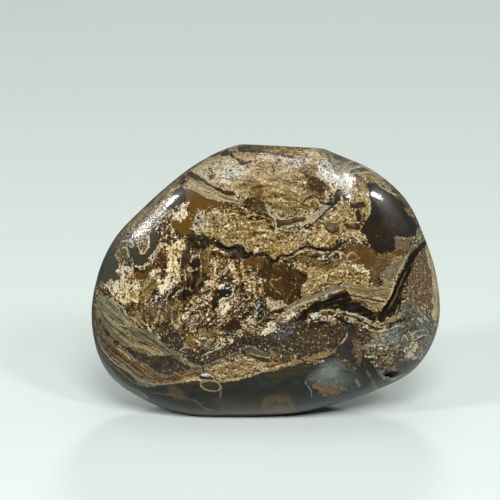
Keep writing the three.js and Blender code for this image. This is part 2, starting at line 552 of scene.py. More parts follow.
# ---------------------------------------------------------------------------
# The upper field: fine pinkish sugar with grey patches, darker gold to the right, and a small olive lens
# with a cream crescent at the crest.
# ---------------------------------------------------------------------------
OLIVE_BLACK = rock((84, 80, 54), grain=0.50, mottle=0.50)
CREAM = (205, 190, 155)
DARK_LINE = (58, 42, 24)
BLACK_LINE = (26, 16, 8)

patch("upper field", PINK_SUGAR, (
    (182, 170), (205, 150), (228, 138), (250, 134), (290, 134), (324, 136), (352, 150), (350, 178),
    (340, 190), (328, 201), (317, 211), (302, 216), (277, 214), (262, 204), (240, 197), (218, 189),
    (203, 183), (190, 177)))
# Partly the stone's pale tan and partly painted sheen: lighter where the upper left catches the light.
patch("pale left of the upper field", rock((204, 188, 156), grain=0.9, mottle=0.7), (
    (184, 172), (204, 156), (224, 152), (240, 162), (236, 176), (222, 184), (204, 180),
    (190, 176)), dip=22, soft=4)
patch("gold of the upper field", rock((146, 124, 80), grain=0.7, mottle=0.9), (
    (236, 186), (252, 180), (268, 180), (284, 186), (302, 192), (312, 198), (310, 212), (298, 214),
    (280, 212), (264, 204), (246, 198)), dip=18, soft=4)
patch("crest gold", rock((132, 102, 56), grain=0.8, mottle=0.8), (
    (262, 146), (280, 146), (300, 146), (312, 147), (308, 154), (298, 157), (284, 156), (270, 152),
    (262, 150)), dip=6)
# Painted highlight: a pale strip along the crest stands in for the lit edge of the top flat.
patch("pale crest", rock((196, 184, 152), grain=0.5, mottle=0.5), (
    (262, 138), (290, 139), (322, 142), (318, 146), (300, 145), (280, 144.5), (264, 145)), soft=1.5)
patch("white speckle of the crest", WHITE_SUGAR, (
    (300, 152), (308, 149), (318, 150), (316, 155), (304, 157)), soft=1.5)
patch("grey speckle of the crest", GREY_SUGAR, (
    (280, 158), (290, 159), (304, 158), (312, 161), (300, 165), (284, 163)), soft=3)
patch("dark gold by the shoulder", GOLD_BROWN, (
    (290, 171), (298, 173), (304, 166), (312, 163), (322, 162), (318, 168), (318, 178), (326, 180),
    (329, 188), (324, 198), (316, 196), (306, 192), (298, 186), (292, 178)), soft=2)
patch("brown hollow by the shoulder", CHOCOLATE, (
    (308, 182), (314, 178), (325, 182), (324, 190), (317, 191), (311, 188)), soft=1.6)
patch("grey patch left", GREY_SUGAR, (
    (220, 170), (230, 168), (243, 171), (243, 177), (230, 179), (220, 176)), soft=5)
patch("grey patch right", GREY_SUGAR, (
    (322, 162), (332, 158), (342, 164), (350, 170), (346, 182), (338, 186), (330, 180), (322, 172)), soft=4)
patch("gold stain in the upper field", rock((112, 84, 46), grain=0.5, mottle=0.5), (
    (252, 188), (260, 186.5), (266, 190), (264, 194), (258, 195)), soft=1.4)
patch("dark pocket", CHOCOLATE, ((223, 192), (228, 191), (235, 195), (227, 196)))
patch("small olive lens", GOLD_BROWN, ((206, 173), (212, 172), (219, 176), (213, 178)))
patch("crest brown left", CHOCOLATE, ((208, 157), (214, 153), (220, 153), (216, 157)))
patch("crest brown middle", CHOCOLATE, ((221, 153), (226, 150), (230, 150), (228, 156), (223, 157)))
band("crescent shadow", CHOCOLATE, ((230, 151), (234, 156), (240, 160), (250, 161.5)), (2, 3, 3, 1.4))
band("cream crescent", rock((186, 164, 120), grain=0.5, mottle=0.4), (
    (231, 148), (236, 154), (243, 157.5), (252, 157)), (2.4, 4.2, 4.2, 1.6))
patch("olive lens at the crest", OLIVE_BLACK, (
    (238, 149), (240, 144), (248, 141), (256, 142), (263, 147), (260, 150.5), (252, 152.5), (244, 152)))
patch("pale olive of the crest", rock((104, 98, 74), grain=0.4, mottle=0.4), (
    (252, 142), (258, 143), (263, 146), (260, 150), (252, 150)))
vein("crest line", DARK_LINE, ((258, 152), (266, 152.5), (275, 153.5), (285, 156), (295, 157)), 1.8)
vein("crest speckle", BLACK_LINE, ((254, 151), (257, 154), (260, 150)), 1.2)
vein("upper field line", DARK_LINE, ((276, 178), (283, 180), (290, 183), (298, 182.5)), 1.3)
vein("upper field line left", (120, 98, 62), ((216, 178), (230, 179), (245, 180), (262, 184)), 1.3)
vein("pale thread of the field", (214, 204, 178), ((203, 163), (207, 167), (208, 172)), 1.2)
vein("gold thread upper", (96, 74, 40), ((268, 193), (278, 196.5), (290, 199), (300, 203), (308, 208)), 1.2)
vein("gold thread lower", (90, 68, 38), ((280, 201), (292, 206), (304, 208.5), (311, 212)), 1.2)
vein("gold thread middle", (140, 108, 62), ((262, 183), (280, 189), (297, 194)), 1.0)
vein("dark top of the stain", DARK_LINE, ((250, 189), (256, 187), (262, 187), (266, 190), (265, 194)), 1.1)

# ---------------------------------------------------------------------------
# The left shoulder: a thin olive rim, a speckled gold band inside it, a black glossy cap, lilac speckled
# chert and a pale tongue that hangs in a charcoal U.
# ---------------------------------------------------------------------------
RIM_OLIVE = rock((98, 94, 72), grain=0.40, mottle=0.35)
RIM_GOLD = rock((146, 128, 92), grain=1.10, mottle=0.60)
LILAC = rock((160, 154, 138), grain=1.30, mottle=1.00)
PALE_GRAINS = rock((142, 118, 78), grain=1.50, mottle=1.20)
GREY_BROWN = rock((100, 90, 70), grain=0.60, mottle=0.50)
TONGUE = rock((150, 126, 98), grain=1.20, mottle=0.80)

band("olive rim of the shoulder", RIM_OLIVE, (
    (200, 160), (184, 171), (166, 184), (152, 198), (138, 211), (124, 226),
    (112, 241)), (6, 6, 6, 8, 9, 8, 6))
band("tan speckle of the shoulder", RIM_GOLD, (
    (188, 176), (179, 184), (168, 192), (156, 202), (144, 213), (132, 226),
    (125, 235)), (4, 6, 7, 9, 11, 11, 8))
patch("grey-brown ground of the shoulder", GREY_BROWN, (
    (112, 240), (118, 233), (124, 237), (132, 233), (137, 240), (139, 250), (136, 262), (124, 266),
    (112, 262), (106, 252)))
patch("black cap", BLACK_CHERT, (
    (181, 179), (185, 176), (188, 181), (189, 190), (188, 199), (187, 206), (182, 210), (176, 213),
    (171, 217), (167, 211), (165, 207), (169, 199), (175, 192), (180, 187)))
patch("dark tip of the cap", rock((70, 44, 34), grain=0.9, mottle=0.5), (
    (181, 178), (186, 176), (190, 182), (187, 188), (182, 186)))
patch("lilac chert", LILAC, (
    (150, 214), (156, 209), (163, 206), (168, 209), (171, 215), (167, 221), (160, 226), (153, 228),
    (148, 222)))
patch("pink speckle of the shoulder", TONGUE, (
    (145, 209), (152, 203), (160, 199), (166, 200), (163, 207), (154, 211), (150, 216), (148, 222),
    (142, 226), (139, 219)))
patch("dark speckle of the shoulder", rock((84, 58, 44), grain=1.8, mottle=0.9), (
    (164, 218), (170, 216), (174, 218), (174, 227), (172, 234), (174, 240), (164, 241), (158, 237),
    (152, 233), (158, 227)))
patch("charcoal U", CHARCOAL, (
    (149, 232), (155, 230), (159, 236), (157, 246), (154, 255), (149, 262), (142, 265), (135, 263),
    (130, 258), (128, 250), (129, 245), (134, 246), (138, 250), (142, 255), (147, 252), (149, 242)))
patch("tongue", TONGUE, (
    (134, 230), (140, 223), (149, 223), (152, 229), (148, 234), (148, 244), (146, 251), (142, 254),
    (139, 249), (138, 241)))
vein("tongue edge", (226, 218, 196), (
    (135, 230), (138, 238), (138.5, 245), (140, 250), (143, 254), (146, 251), (148, 244), (149, 236),
    (151, 231)), 1.3)
band("cream band round the U", rock((188, 172, 136), grain=0.9, mottle=0.5), (
    (130, 260), (134, 265), (139, 268), (145, 268), (150, 265), (154, 259), (156, 252), (158, 247),
    (164, 243), (172, 242)), (1.5, 2.5, 3, 3, 3, 3, 3.5, 5, 7, 3))
vein("dark line in the cream band", (48, 34, 22), ((158, 243), (164, 242), (170, 243)), 1.2)
vein("white rim of the U", (222, 212, 188), (
    (130, 261), (135, 266), (141, 267), (148, 265), (153, 260), (155, 253)), 1.2)
vein("cream loop by the rim", (204, 190, 158), (
    (120, 243), (126, 241), (131, 242), (133, 246), (131, 247), (127, 244)), 1.5)
vein("cream hook by the rim", (204, 190, 158), ((121, 247), (126, 249), (127.5, 254), (127, 259)), 1.8)
patch("black patch of the shoulder", rock((80, 80, 68), grain=0.10, mottle=0.20), (
    (103, 248), (108, 245), (112, 249), (115, 254), (117, 261), (120, 267), (124, 273), (125, 279),
    (118, 281), (112, 280), (106, 283), (98, 277), (99, 264), (100, 254)))
patch("tan bump", GOLD_BROWN, (
    (114, 257), (119, 253), (125, 252), (127, 258), (124, 263), (118, 261)), soft=1.4)
patch("tan speckle under the bump", PALE_GRAINS, (
    (120, 262), (128, 260), (134, 267), (128, 272), (122, 268)))

# ---------------------------------------------------------------------------
# The two windows of clear amber, the pale striped bands that run down over them, and the white chunk
# between them.
# ---------------------------------------------------------------------------
band("dark band over the window", CHOCOLATE, (
    (187, 173), (193, 176), (199, 180), (206, 185), (213, 189), (221, 191)), (3, 5, 5, 5, 4, 2))
band("striped band over the window", rock((160, 142, 106), grain=0.35, mottle=0.2, lamina=0.9), (
    (190, 181), (200, 189), (212, 195), (226, 200), (240, 203)), (5, 9, 9, 7, 4))
patch("amber window", CLEAR_AMBER, (
    (188, 188), (197, 193), (205, 197), (212, 200), (222, 203), (230, 205), (224, 207), (216, 210),
    (207, 213), (197, 215), (191, 212), (187, 206), (186, 197)))
patch("lower amber window", CLEAR_AMBER, (
    (173, 219), (182, 214), (190, 212), (196, 214), (195, 224), (191, 234), (183, 236), (176, 231),
    (172, 226)))
patch("white chunk", WHITE_SUGAR, (
    (175, 214), (180, 208), (184, 206), (188, 209), (182, 215), (177, 218)), soft=1.6)
vein("pale line over the window", CREAM, (
    (187, 177), (198, 187), (205, 190), (215, 195), (223, 200), (232, 203)), 1.4)
vein("pale line upper", (196, 180, 146), ((196, 180), (205, 185), (222, 194), (236, 199)), 1.3)
vein("window edge", (182, 160, 116), ((187, 184), (196, 191), (205, 196), (216, 200), (230, 203)), 1.4)

# ---------------------------------------------------------------------------
# The big gold lens across the upper middle, with the black wavy vein as its floor, and the small brown
# and cream pockets at its head.
# ---------------------------------------------------------------------------
patch("gold lens", GOLD_SUGAR, (
    (196, 215), (203, 210), (218, 207), (231, 208), (240, 213), (253, 216), (267, 221), (275, 231),
    (290, 227), (309, 225), (324, 216), (336, 206), (344, 197), (352, 201), (356, 214), (362, 224),
    (368, 234), (362, 244), (352, 240), (344, 243), (327, 247), (309, 248), (290, 257), (270, 260),
    (253, 256), (238, 249), (221, 244), (212, 240), (200, 233), (195, 224)), dip=-10)
patch("pale head of the lens", rock((180, 162, 130), grain=1.1, mottle=0.7), (
    (197, 216), (203, 211), (211, 210), (216, 216), (214, 226), (206, 233), (199, 231), (195, 224)), soft=4)
patch("olive stain in the lens", rock((168, 144, 100), grain=1.1, mottle=0.9), (
    (208, 212), (218, 209), (227, 212), (230, 220), (224, 227), (213, 226), (207, 220)))
vein("white edge of the lens", (206, 196, 172), (
    (203, 211), (197, 215), (195, 223), (196, 231), (201, 235)), 1.8)
patch("grey head band", rock((172, 158, 130), grain=0.6, mottle=0.5), (
    (262, 203), (270, 208), (276, 216), (290, 214), (305, 214), (318, 210), (326, 205), (332, 206),
    (324, 214), (312, 222), (296, 227), (280, 229), (275, 232), (271, 224), (264, 212)))
patch("red-brown square", rock((84, 60, 30), grain=0.5, mottle=0.45), (
    (247, 199), (259, 199), (263, 206), (267, 213), (274, 219), (270, 222), (260, 214), (249, 210)))
patch("red-brown lens", rock((90, 66, 36), grain=0.5, mottle=0.45), (
    (276, 220), (288, 218), (293, 216), (306, 218), (298, 222), (290, 225), (277, 226)))
vein("olive sliver", (62, 52, 34), ((273, 218), (275, 222), (275, 227), (271, 231)), 2.4)
vein("cream edge of the head", CREAM, (
    (262, 209), (269, 214), (275, 220), (276.5, 228), (283, 228.5), (295, 226), (306, 223.5),
    (314, 218)), 1.4)
vein("cream top of the brown lens", (206, 192, 158), (
    (270, 209), (276, 215), (281, 220), (289, 218.5), (297, 215.5), (304, 216)), 1.2)
vein("stripes of the lens", (196, 176, 130), ((244, 214), (254, 214.5), (264, 216), (272, 219)), 1.0)
vein("dark edge of the head", (34, 22, 12), (
    (334, 206), (328, 210), (323, 215), (317, 220), (309, 226), (301, 227)), 1.5)
patch("amber loop", rock((122, 94, 52), grain=0.5, mottle=0.4), (
    (311, 205), (314, 201), (319, 202), (320, 207), (316, 210), (312, 209)))
vein("cream loop of the amber", (196, 178, 140), (
    (310, 207), (311, 202), (315, 199.5), (320, 201), (321, 207), (318, 211)), 1.2)
vein("dark loop", (34, 22, 12), ((304, 201), (309, 198), (314, 195.5), (318, 197), (321, 201)), 1.8)
vein("black hook", (20, 14, 8), (
    (319, 200), (323, 203.5), (330, 204.5), (336, 203.5), (337.5, 197), (338, 191), (341, 191)), 3.4)
vein("black hook end", (20, 14, 8), ((340, 192), (342, 196), (347, 198)), 1.8)
vein("pale edge of the hook", (206, 190, 158), ((334, 196), (335, 190), (339, 188.5), (343, 191)), 1.2)
patch("black-edged patch", CHOCOLATE, (
    (326, 224), (332, 223), (338, 224), (338, 229), (332, 231), (328, 229)))
vein("edge of the black-edged patch", (20, 14, 8), (
    (322, 222), (325, 227), (329, 231), (333, 232), (338, 230)), 1.6)
veil("blue-grey spot of the lens", (132, 126, 112), (
    (299, 231), (304, 229), (309, 233), (305, 238), (300, 236)), 0.7, 3.0)
veil("olive of the lens", (126, 108, 66), (
    (222, 222), (240, 220), (256, 224), (268, 232), (266, 244), (250, 246), (234, 240),
    (224, 232)), 0.2, 6.0)
veil("pink of the lens", (176, 152, 118), (
    (286, 234), (304, 232), (322, 226), (334, 216), (338, 226), (322, 238), (300, 244)), 0.35, 6.0)
vein("black wavy vein", (24, 15, 7), (
    (210, 239), (218, 242), (224, 247), (230, 249), (236, 247), (241, 247), (244, 251), (247, 256),
    (251, 253), (255, 255), (260, 255), (266, 254), (270, 258), (273, 261), (277, 260), (281, 256),
    (286, 256)), 4.2)
vein("black wavy vein, right part", (24, 15, 7), (
    (280, 257), (286, 256), (290, 255), (294, 252), (299, 249), (304, 247.5), (310, 248), (318, 248.5),
    (326, 249), (334, 249), (338, 246), (342, 243), (348, 242)), 2.8)
vein("pale floor of the vein", (190, 170, 124), (
    (286, 259), (293, 256), (299, 252.5), (306, 251), (318, 251.5), (328, 252), (337, 251),
    (343, 247)), 1.4)
vein("crystal loops", (206, 198, 180), (
    (312, 254), (318, 252), (324, 256), (318, 258), (326, 259), (332, 254), (338, 252), (340, 258),
    (332, 260)), 1.2)

# ---------------------------------------------------------------------------
# The right shoulder: cream and brown arcs at the crest, a gold field with black spots, and the big lens of
# black glassy chert under a dashed cream line.
# ---------------------------------------------------------------------------
patch("arcs of the shoulder", rock((168, 158, 132), grain=0.45, mottle=0.35, lamina=0.5), (
    (322, 140), (336, 146), (352, 152), (366, 160), (378, 170), (392, 182), (386, 186), (374, 179),
    (362, 173), (350, 176), (340, 176), (332, 166), (326, 154)), dip=28)
patch("olive of the crest", rock((112, 102, 72), grain=0.6, mottle=0.5), (
    (332, 155), (342, 153), (352, 158), (344, 161), (335, 160)), soft=2)
band("brown arc", rock((116, 92, 68), grain=0.35, mottle=0.3), (
    (349, 175), (352, 171.5), (357, 169.5), (363, 169), (370, 171)), (2, 4, 4, 3.5, 1.5))
vein("brown arc outer", (112, 92, 66), ((338, 174), (343, 167), (350, 164), (358, 164), (364, 166)), 1.4)
vein("brown arc outer 2", (112, 92, 66), ((332, 168), (338, 164), (346, 161), (354, 160)), 1.2)
vein("cream arc", (226, 218, 196), (
    (348, 173), (352, 168.5), (357, 166.5), (363, 166.5), (368, 169), (376, 174)), 1.5)
vein("cream arc outer", (214, 206, 184), (
    (340, 172), (345, 166), (351, 162.5), (358, 162), (363, 164)), 1.3)
vein("cream arc inner", (214, 200, 168), (
    (350, 177), (355, 174), (361, 172.5), (369, 172.5), (377, 176), (385, 181)), 1.4)
patch("gold of the shoulder", rock((150, 130, 84), grain=1.1, mottle=0.9), (
    (346, 182), (351, 176), (358, 173.5), (366, 172.5), (372, 175), (370, 182), (367, 190), (369, 200),
    (369, 210), (366, 220), (362, 224), (356, 214), (350, 204), (341, 196)))
patch("black chert lens", BLACK_CHERT, (
    (372, 181), (382, 187), (390, 192), (398, 199), (405, 207), (412, 217), (418, 228), (419, 238),
    (410, 238), (400, 236), (395, 238), (395, 248), (390, 251), (384, 254), (378, 253), (372, 248),
    (368, 243), (363, 237), (360, 231), (363, 226), (368, 219), (370, 207), (368, 193), (368, 185)))
veil("brown glow of the lens", (66, 48, 26), (
    (364, 226), (372, 220), (386, 224), (390, 236), (384, 246), (374, 244), (366, 236)), 0.7, 5.0)
# Partly the lens's own olive-grey, partly painted reflection: the soft glow running from its highlight.
veil("olive-grey cloud of the lens", (96, 92, 78), (
    (378, 196), (386, 198), (398, 208), (408, 220), (408, 232), (398, 234), (388, 226),
    (382, 212)), 0.35, 7.0)
veil("black heart of the lens", (34, 29, 22), (
    (372, 200), (378, 206), (382, 218), (378, 224), (370, 216)), 0.8, 5.0)
veil("black edge of the lens", (30, 26, 20), (
    (396, 204), (404, 210), (414, 224), (416, 234), (410, 230), (402, 216)), 0.6, 3.0)
vein("cream edge of the lens", (196, 180, 138), (
    (367, 186), (369, 196), (370, 205), (369, 213), (366, 221)), 1.4)
band("tan rim of the shoulder", RIM_OLIVE, (
    (366, 160), (380, 169), (396, 182), (410, 199), (420, 213), (427, 230)), (4, 5, 8, 9, 8, 6))
band("pink strip over the lens", rock((160, 140, 108), grain=0.8, mottle=0.5), (
    (374, 177), (382, 181), (389, 186), (395, 191)), (2, 4, 4, 1.5))
vein("dashed cream line", (210, 198, 164), ((380, 186), (387, 190), (393, 194), (398, 197)), 1.5)
patch("brown spot of the rim", rock((140, 112, 78), grain=0.8, mottle=0.4), (
    (405, 208), (409, 207), (411, 212), (407, 213)))
patch("tan-brown lens", rock((124, 102, 74), grain=0.35, mottle=0.4), (
    (394, 238), (398, 236), (404, 239), (409, 237), (415, 239), (418, 243), (414, 250), (404, 254),
    (392, 260), (380, 263), (370, 263), (380, 257), (392, 252), (396, 246)))
vein("pale top of the lens", (170, 148, 116), ((394, 239), (400, 238), (406, 238), (413, 239)), 1.2)
patch("white speckle at the rim", rock((150, 144, 124), grain=1.8, mottle=0.9), (
    (417, 232), (420, 229), (425, 236), (426, 243), (421, 246), (416, 241)))
vein("black streak at the rim", BLACK_LINE, ((427, 238), (424, 244), (420, 250), (415, 255)), 3.4)
vein("white and black line", (226, 216, 192), ((346, 217.5), (349, 219), (353, 221), (359, 222.5)), 1.4)
vein("black and white line", BLACK_LINE, (
    (344, 222), (346, 219), (350, 220.5), (355, 221), (360, 220)), 1.5)
patch("dark patch under the line", CHOCOLATE, (
    (343, 224), (350, 223), (358, 225), (358, 229), (350, 230), (344, 228)))
for points in (
    ((349, 204), (355, 203), (361, 201), (364, 204), (360, 209), (352, 208)),
    ((356, 208), (361, 209), (362, 219), (357, 220)),
    ((343, 197), (346, 194), (350, 196), (349, 201), (345, 201)),
):
    patch("black spot", BLACK_CHERT, points, soft=1.4)
for colour, width, points in (
    ((214, 200, 168), 1.4, ((346, 236), (353, 233), (360, 236), (366, 240), (365, 245))),
    ((214, 200, 168), 1.2, ((352, 230), (354, 236), (359, 241), (362, 245))),
    ((198, 182, 148), 1.0, ((357, 232), (363, 235), (366, 239))),
):
    vein("cream sprig", colour, points, width)

# ---------------------------------------------------------------------------
# Under the black vein, to the right: amber, an olive band, the chocolate patch and the second gold lens.
# ---------------------------------------------------------------------------
patch("amber field", rock((104, 76, 36), grain=0.25, mottle=0.5), (
    (345, 249), (356, 245), (366, 246), (378, 255), (390, 254), (404, 252), (392, 262), (382, 276),
    (371, 283), (362, 272), (352, 262), (346, 257)))
patch("second gold lens", GOLD_SUGAR, (
    (296, 268), (305, 264), (328, 268), (345, 262), (358, 264), (366, 276), (374, 284), (362, 284),
    (350, 283), (340, 284), (324, 290), (312, 295), (302, 299), (300, 292), (303, 282),
    (307, 279)), dip=-12)
band("olive band", rock((112, 88, 54), grain=0.45, mottle=0.4), (
    (288, 262), (303, 258), (316, 262), (330, 265), (346, 259), (356, 262)), (3, 7, 6, 5, 6, 3))
patch("chocolate patch", CHOCOLATE, (
    (260, 262), (268, 262), (280, 263), (296, 270), (306, 278), (302, 283), (301, 293), (299, 301),
    (292, 306), (284, 300), (268, 298), (261, 289), (257, 274)))
patch("red of the chocolate patch", rock((84, 58, 32), grain=0.4, mottle=0.3), (
    (270, 282), (282, 280), (292, 286), (290, 296), (278, 294)))
vein("edge of the chocolate patch", (44, 28, 14), (
    (296, 270), (307, 279), (302, 284), (300, 296), (296, 303)), 1.3)
patch("grey speckle by the fold", rock((132, 116, 92), grain=0.6, mottle=0.4), (
    (388, 263), (398, 258), (408, 256), (404, 266), (398, 276), (388, 281), (379, 278)))
# Painted glints: points of light on the crystals by the rings, painted into the colour as short veins.
for colour, width, points in (
    ((236, 228, 206), 2.0, ((351, 268), (354, 266), (357, 270), (360, 272))),
    ((236, 228, 206), 2.0, ((360, 274), (363, 271), (368, 272), (366, 276))),
    ((200, 184, 148), 1.2, ((346, 262), (348, 256), (352, 253), (357, 256))),
):
    vein("sparkle", colour, points, width)
patch("cream patch by the chocolate", PINK_SUGAR, (
    (264, 299), (275, 299), (286, 306), (275, 312), (267, 308)))

# ---------------------------------------------------------------------------
# The middle and the left: strongly stained sugar. Dark iron-brown pockets, streams of pale grains that
# rise to the right, and amber between them.
# ---------------------------------------------------------------------------
STREAMING_GOLD = rock((230, 206, 150), grain=1.45, mottle=1.15, lamina=0.30)
STREAMING_BROWN = rock((98, 74, 40), grain=1.20, mottle=1.25, lamina=0.30)
MUTED_BROWN = rock((104, 88, 66), grain=0.70, mottle=0.70, lamina=0.30)
RED_BROWN = rock((74, 50, 28), grain=0.45, mottle=0.50)
PURPLE_SUGAR = rock((74, 61, 48), grain=0.80, mottle=0.25)

patch("streaming ground", STREAMING_BROWN, (
    (168, 296), (184, 286), (204, 282), (224, 284), (246, 290), (252, 304), (246, 322), (226, 336),
    (204, 342), (188, 346), (174, 338), (162, 322), (158, 306)), dip=-42)
patch("gold column", STREAMING_GOLD, (
    (168, 246), (176, 238), (184, 240), (186, 252), (182, 268), (180, 280), (170, 284), (162, 278),
    (166, 262)), dip=80)
patch("gold by the rim", STREAMING_GOLD, (
    (122, 268), (130, 265), (136, 270), (140, 278), (158, 271), (166, 278), (160, 286), (150, 296),
    (140, 304), (128, 312), (120, 304), (112, 296), (106, 288), (108, 281), (118, 281),
    (125, 279)), dip=-40)
patch("brown between the bands", MUTED_BROWN, (
    (158, 318), (164, 304), (172, 306), (176, 320), (182, 334), (184, 346), (176, 352), (166, 342),
    (159, 330)), dip=60)
patch("olive-gold left", rock((132, 110, 64), grain=0.7, mottle=0.6, lamina=0.5), (
    (140, 282), (152, 276), (158, 284), (152, 294), (144, 302), (138, 300)), dip=-40)
patch("dark olive left", rock((92, 72, 40), grain=0.6, mottle=0.7, lamina=0.4), (
    (126, 306), (138, 302), (150, 298), (158, 302), (158, 318), (150, 322), (138, 320),
    (128, 314)), dip=-10)
patch("white grains left", WHITE_SUGAR, (
    (121, 269), (129, 265), (134, 271), (138, 282), (136, 292), (129, 287), (124, 279)))
patch("white grains by the rim", WHITE_SUGAR, (
    (107, 284), (115, 281), (122, 286), (122, 294), (114, 296), (108, 290)))
patch("amber under the U", AMBER, (
    (136, 271), (145, 270), (154, 265), (160, 262), (156, 270), (150, 276), (142, 279), (137, 277)))
patch("red-brown by the U", RED_BROWN, (
    (157, 259), (162, 254), (167, 258), (166, 266), (160, 268), (156, 265)), soft=2.5)
band("white stream left", WHITE_SUGAR, (
    (156, 299), (162, 290), (170, 284), (178, 280), (181, 275)), (2, 6, 7, 5, 2))
patch("white grains under the amber", WHITE_SUGAR, ((151, 276), (156, 270), (160, 273), (157, 279)))
patch("dark head pocket", DARK_CHERT, (
    (189, 235), (198, 233), (207, 238), (209, 246), (202, 251), (192, 250), (186, 246),
    (188, 240)), soft=2.5)
patch("red-brown pocket", RED_BROWN, (
    (181, 254), (187, 252), (190, 258), (188, 267), (182, 268), (180, 261)), soft=2.5)
patch("small black pocket", BLACK_CHERT, ((190, 263), (196, 260), (201, 262), (199, 267), (192, 267)))
patch("great dark pocket", DARK_CHERT, (
    (189, 271), (196, 269), (203, 273), (210, 279), (206, 284), (201, 289), (192, 290), (184, 288),
    (180, 282), (186, 279)), soft=2)
patch("dark arm", DARK_CHERT, (
    (184, 289), (192, 290), (200, 292), (196, 298), (188, 300), (184, 308), (180, 304), (182, 296)))
band("black sliver", BLACK_CHERT, ((168, 298), (174, 292), (180, 287)), (2, 4.5, 1.5))
patch("dark eye", DARK_CHERT, ((168, 301), (173, 298), (176, 302), (173, 307), (168, 306)))
patch("brown half of the lens", RED_BROWN, (
    (211, 290), (218, 290), (222, 293), (219, 297), (212, 298), (209, 294)))
patch("black half of the lens", BLACK_CHERT, (
    (220, 291), (227, 289), (233, 291), (230, 295), (223, 297), (219, 296)))
patch("black under the lens", BLACK_CHERT, ((212, 299), (217, 298), (220, 301), (218, 307), (213, 307)))
patch("black sparkly pocket", rock((54, 50, 42), grain=1.0, mottle=0.7), (
    (250, 302), (254, 297), (261, 298), (266, 305), (270, 314), (266, 321), (258, 322), (250, 319),
    (245, 316), (248, 309)), soft=1.3)
patch("dark brown island", RED_BROWN, ((226, 273), (231, 271), (233, 278), (229, 283), (225, 280)))
patch("shadow under the black vein", DARK_CHERT, (
    (213, 240), (221, 246), (230, 250), (240, 249), (245, 255), (250, 258), (240, 259), (230, 256),
    (222, 252)))
patch("amber under the vein", AMBER, (
    (246, 260), (256, 258), (264, 262), (262, 270), (252, 270), (246, 266)), soft=4)
patch("amber left of the middle", rock((122, 92, 48), grain=0.6, mottle=0.6), (
    (203, 252), (209, 249), (213, 256), (211, 268), (214, 276), (208, 276), (203, 268)))
patch("pale grains 1", PALE_GRAINS, ((209, 259), (215, 253), (221, 262), (219, 269), (212, 268)))
patch("pale grains 2", PALE_GRAINS, ((222, 264), (230, 261), (233, 267), (226, 271)))
patch("pale column", PALE_GRAINS, (
    (249, 269), (257, 268), (260, 276), (263, 290), (258, 299), (252, 297), (248, 284)))
band("pale streak", PALE_GRAINS, ((219, 272), (224, 277), (226, 283)), (1.5, 3.5, 1.5))
band("pale stream 1", PALE_GRAINS, ((188, 314), (196, 306), (204, 299), (212, 294)), (3, 7, 8, 4))
band("pale stream 2", WHITE_SUGAR, (
    (203, 288), (209, 284), (217, 285), (226, 286), (233, 289)), (4, 5, 4, 3, 2))
band("white stream right", WHITE_SUGAR, ((224, 298), (226, 306), (224, 316)), (8, 8, 4))
band("pale stream 3", PALE_GRAINS, ((222, 325), (228, 318), (238, 310), (246, 304)), (3, 6, 6, 3))
patch("tan patch", rock((134, 108, 70), grain=0.6, mottle=0.5), (
    (200, 330), (208, 327), (216, 330), (212, 337), (203, 336)))
patch("gold patch low left", rock((126, 106, 62), grain=0.7, mottle=0.5), (
    (181, 342), (189, 338), (195, 343), (192, 349), (184, 350)))
patch("pale patch low", rock((134, 120, 92), grain=0.6, mottle=0.4), (
    (200, 343), (206, 339), (211, 343), (206, 348)))
vein("white line by the sliver", (212, 200, 170), ((172, 298), (176, 293), (181, 288)), 1.4)
vein("white rim of the lens", (214, 202, 174), ((219, 299), (225, 298), (231, 296), (234, 291)), 1.8)
vein("pale line down the left", (176, 160, 124), ((158, 320), (159, 311), (162, 303), (168, 296)), 1.6)
vein("white dots left", (236, 228, 208), ((181, 318), (185, 318), (188, 315)), 2.6)
# Painted glints: bluish-white points of light on the crystals of the black pocket, painted as short veins.
for colour, width, points in (
    ((186, 196, 204), 1.1, ((251, 303), (254, 305), (255, 308))),
    ((186, 196, 204), 1.3, ((257, 300), (258, 304), (256, 309), (257, 313))),
    ((130, 136, 140), 1.0, ((259, 309), (263, 310), (265, 314))),
    ((150, 154, 156), 1.0, ((250, 314), (254, 314), (258, 318))),
):
    vein("sparkle in the black", colour, points, width)
vein("white edge of the black", (200, 190, 164), ((246, 320), (252, 322), (258, 323)), 1.2)
vein("white edge of the pocket", (206, 190, 160), ((186, 268), (192, 271), (198, 269)), 1.3)
vein("white thread in the dark", (190, 170, 136), ((192, 258), (198, 254), (203, 250)), 1.2)

# ---------------------------------------------------------------------------
# The fold on the right: a red granular rim, the thick black vein that runs down to the fold's foot, the
# tan laminated fold inside it and the black-brown band with cream edges that carries it.
# ---------------------------------------------------------------------------
FOLD_TAN = rock((154, 132, 96), grain=0.35, mottle=0.25, lamina=1.1)
FOLD_GREY = rock((138, 126, 100), grain=0.35, mottle=0.25, lamina=0.5)
VEIN_BROWN = rock((50, 38, 24), grain=0.20, mottle=0.25, lamina=0.4)
RIM_TAN = rock((222, 202, 158), grain=0.60, mottle=0.85, lamina=0.50)

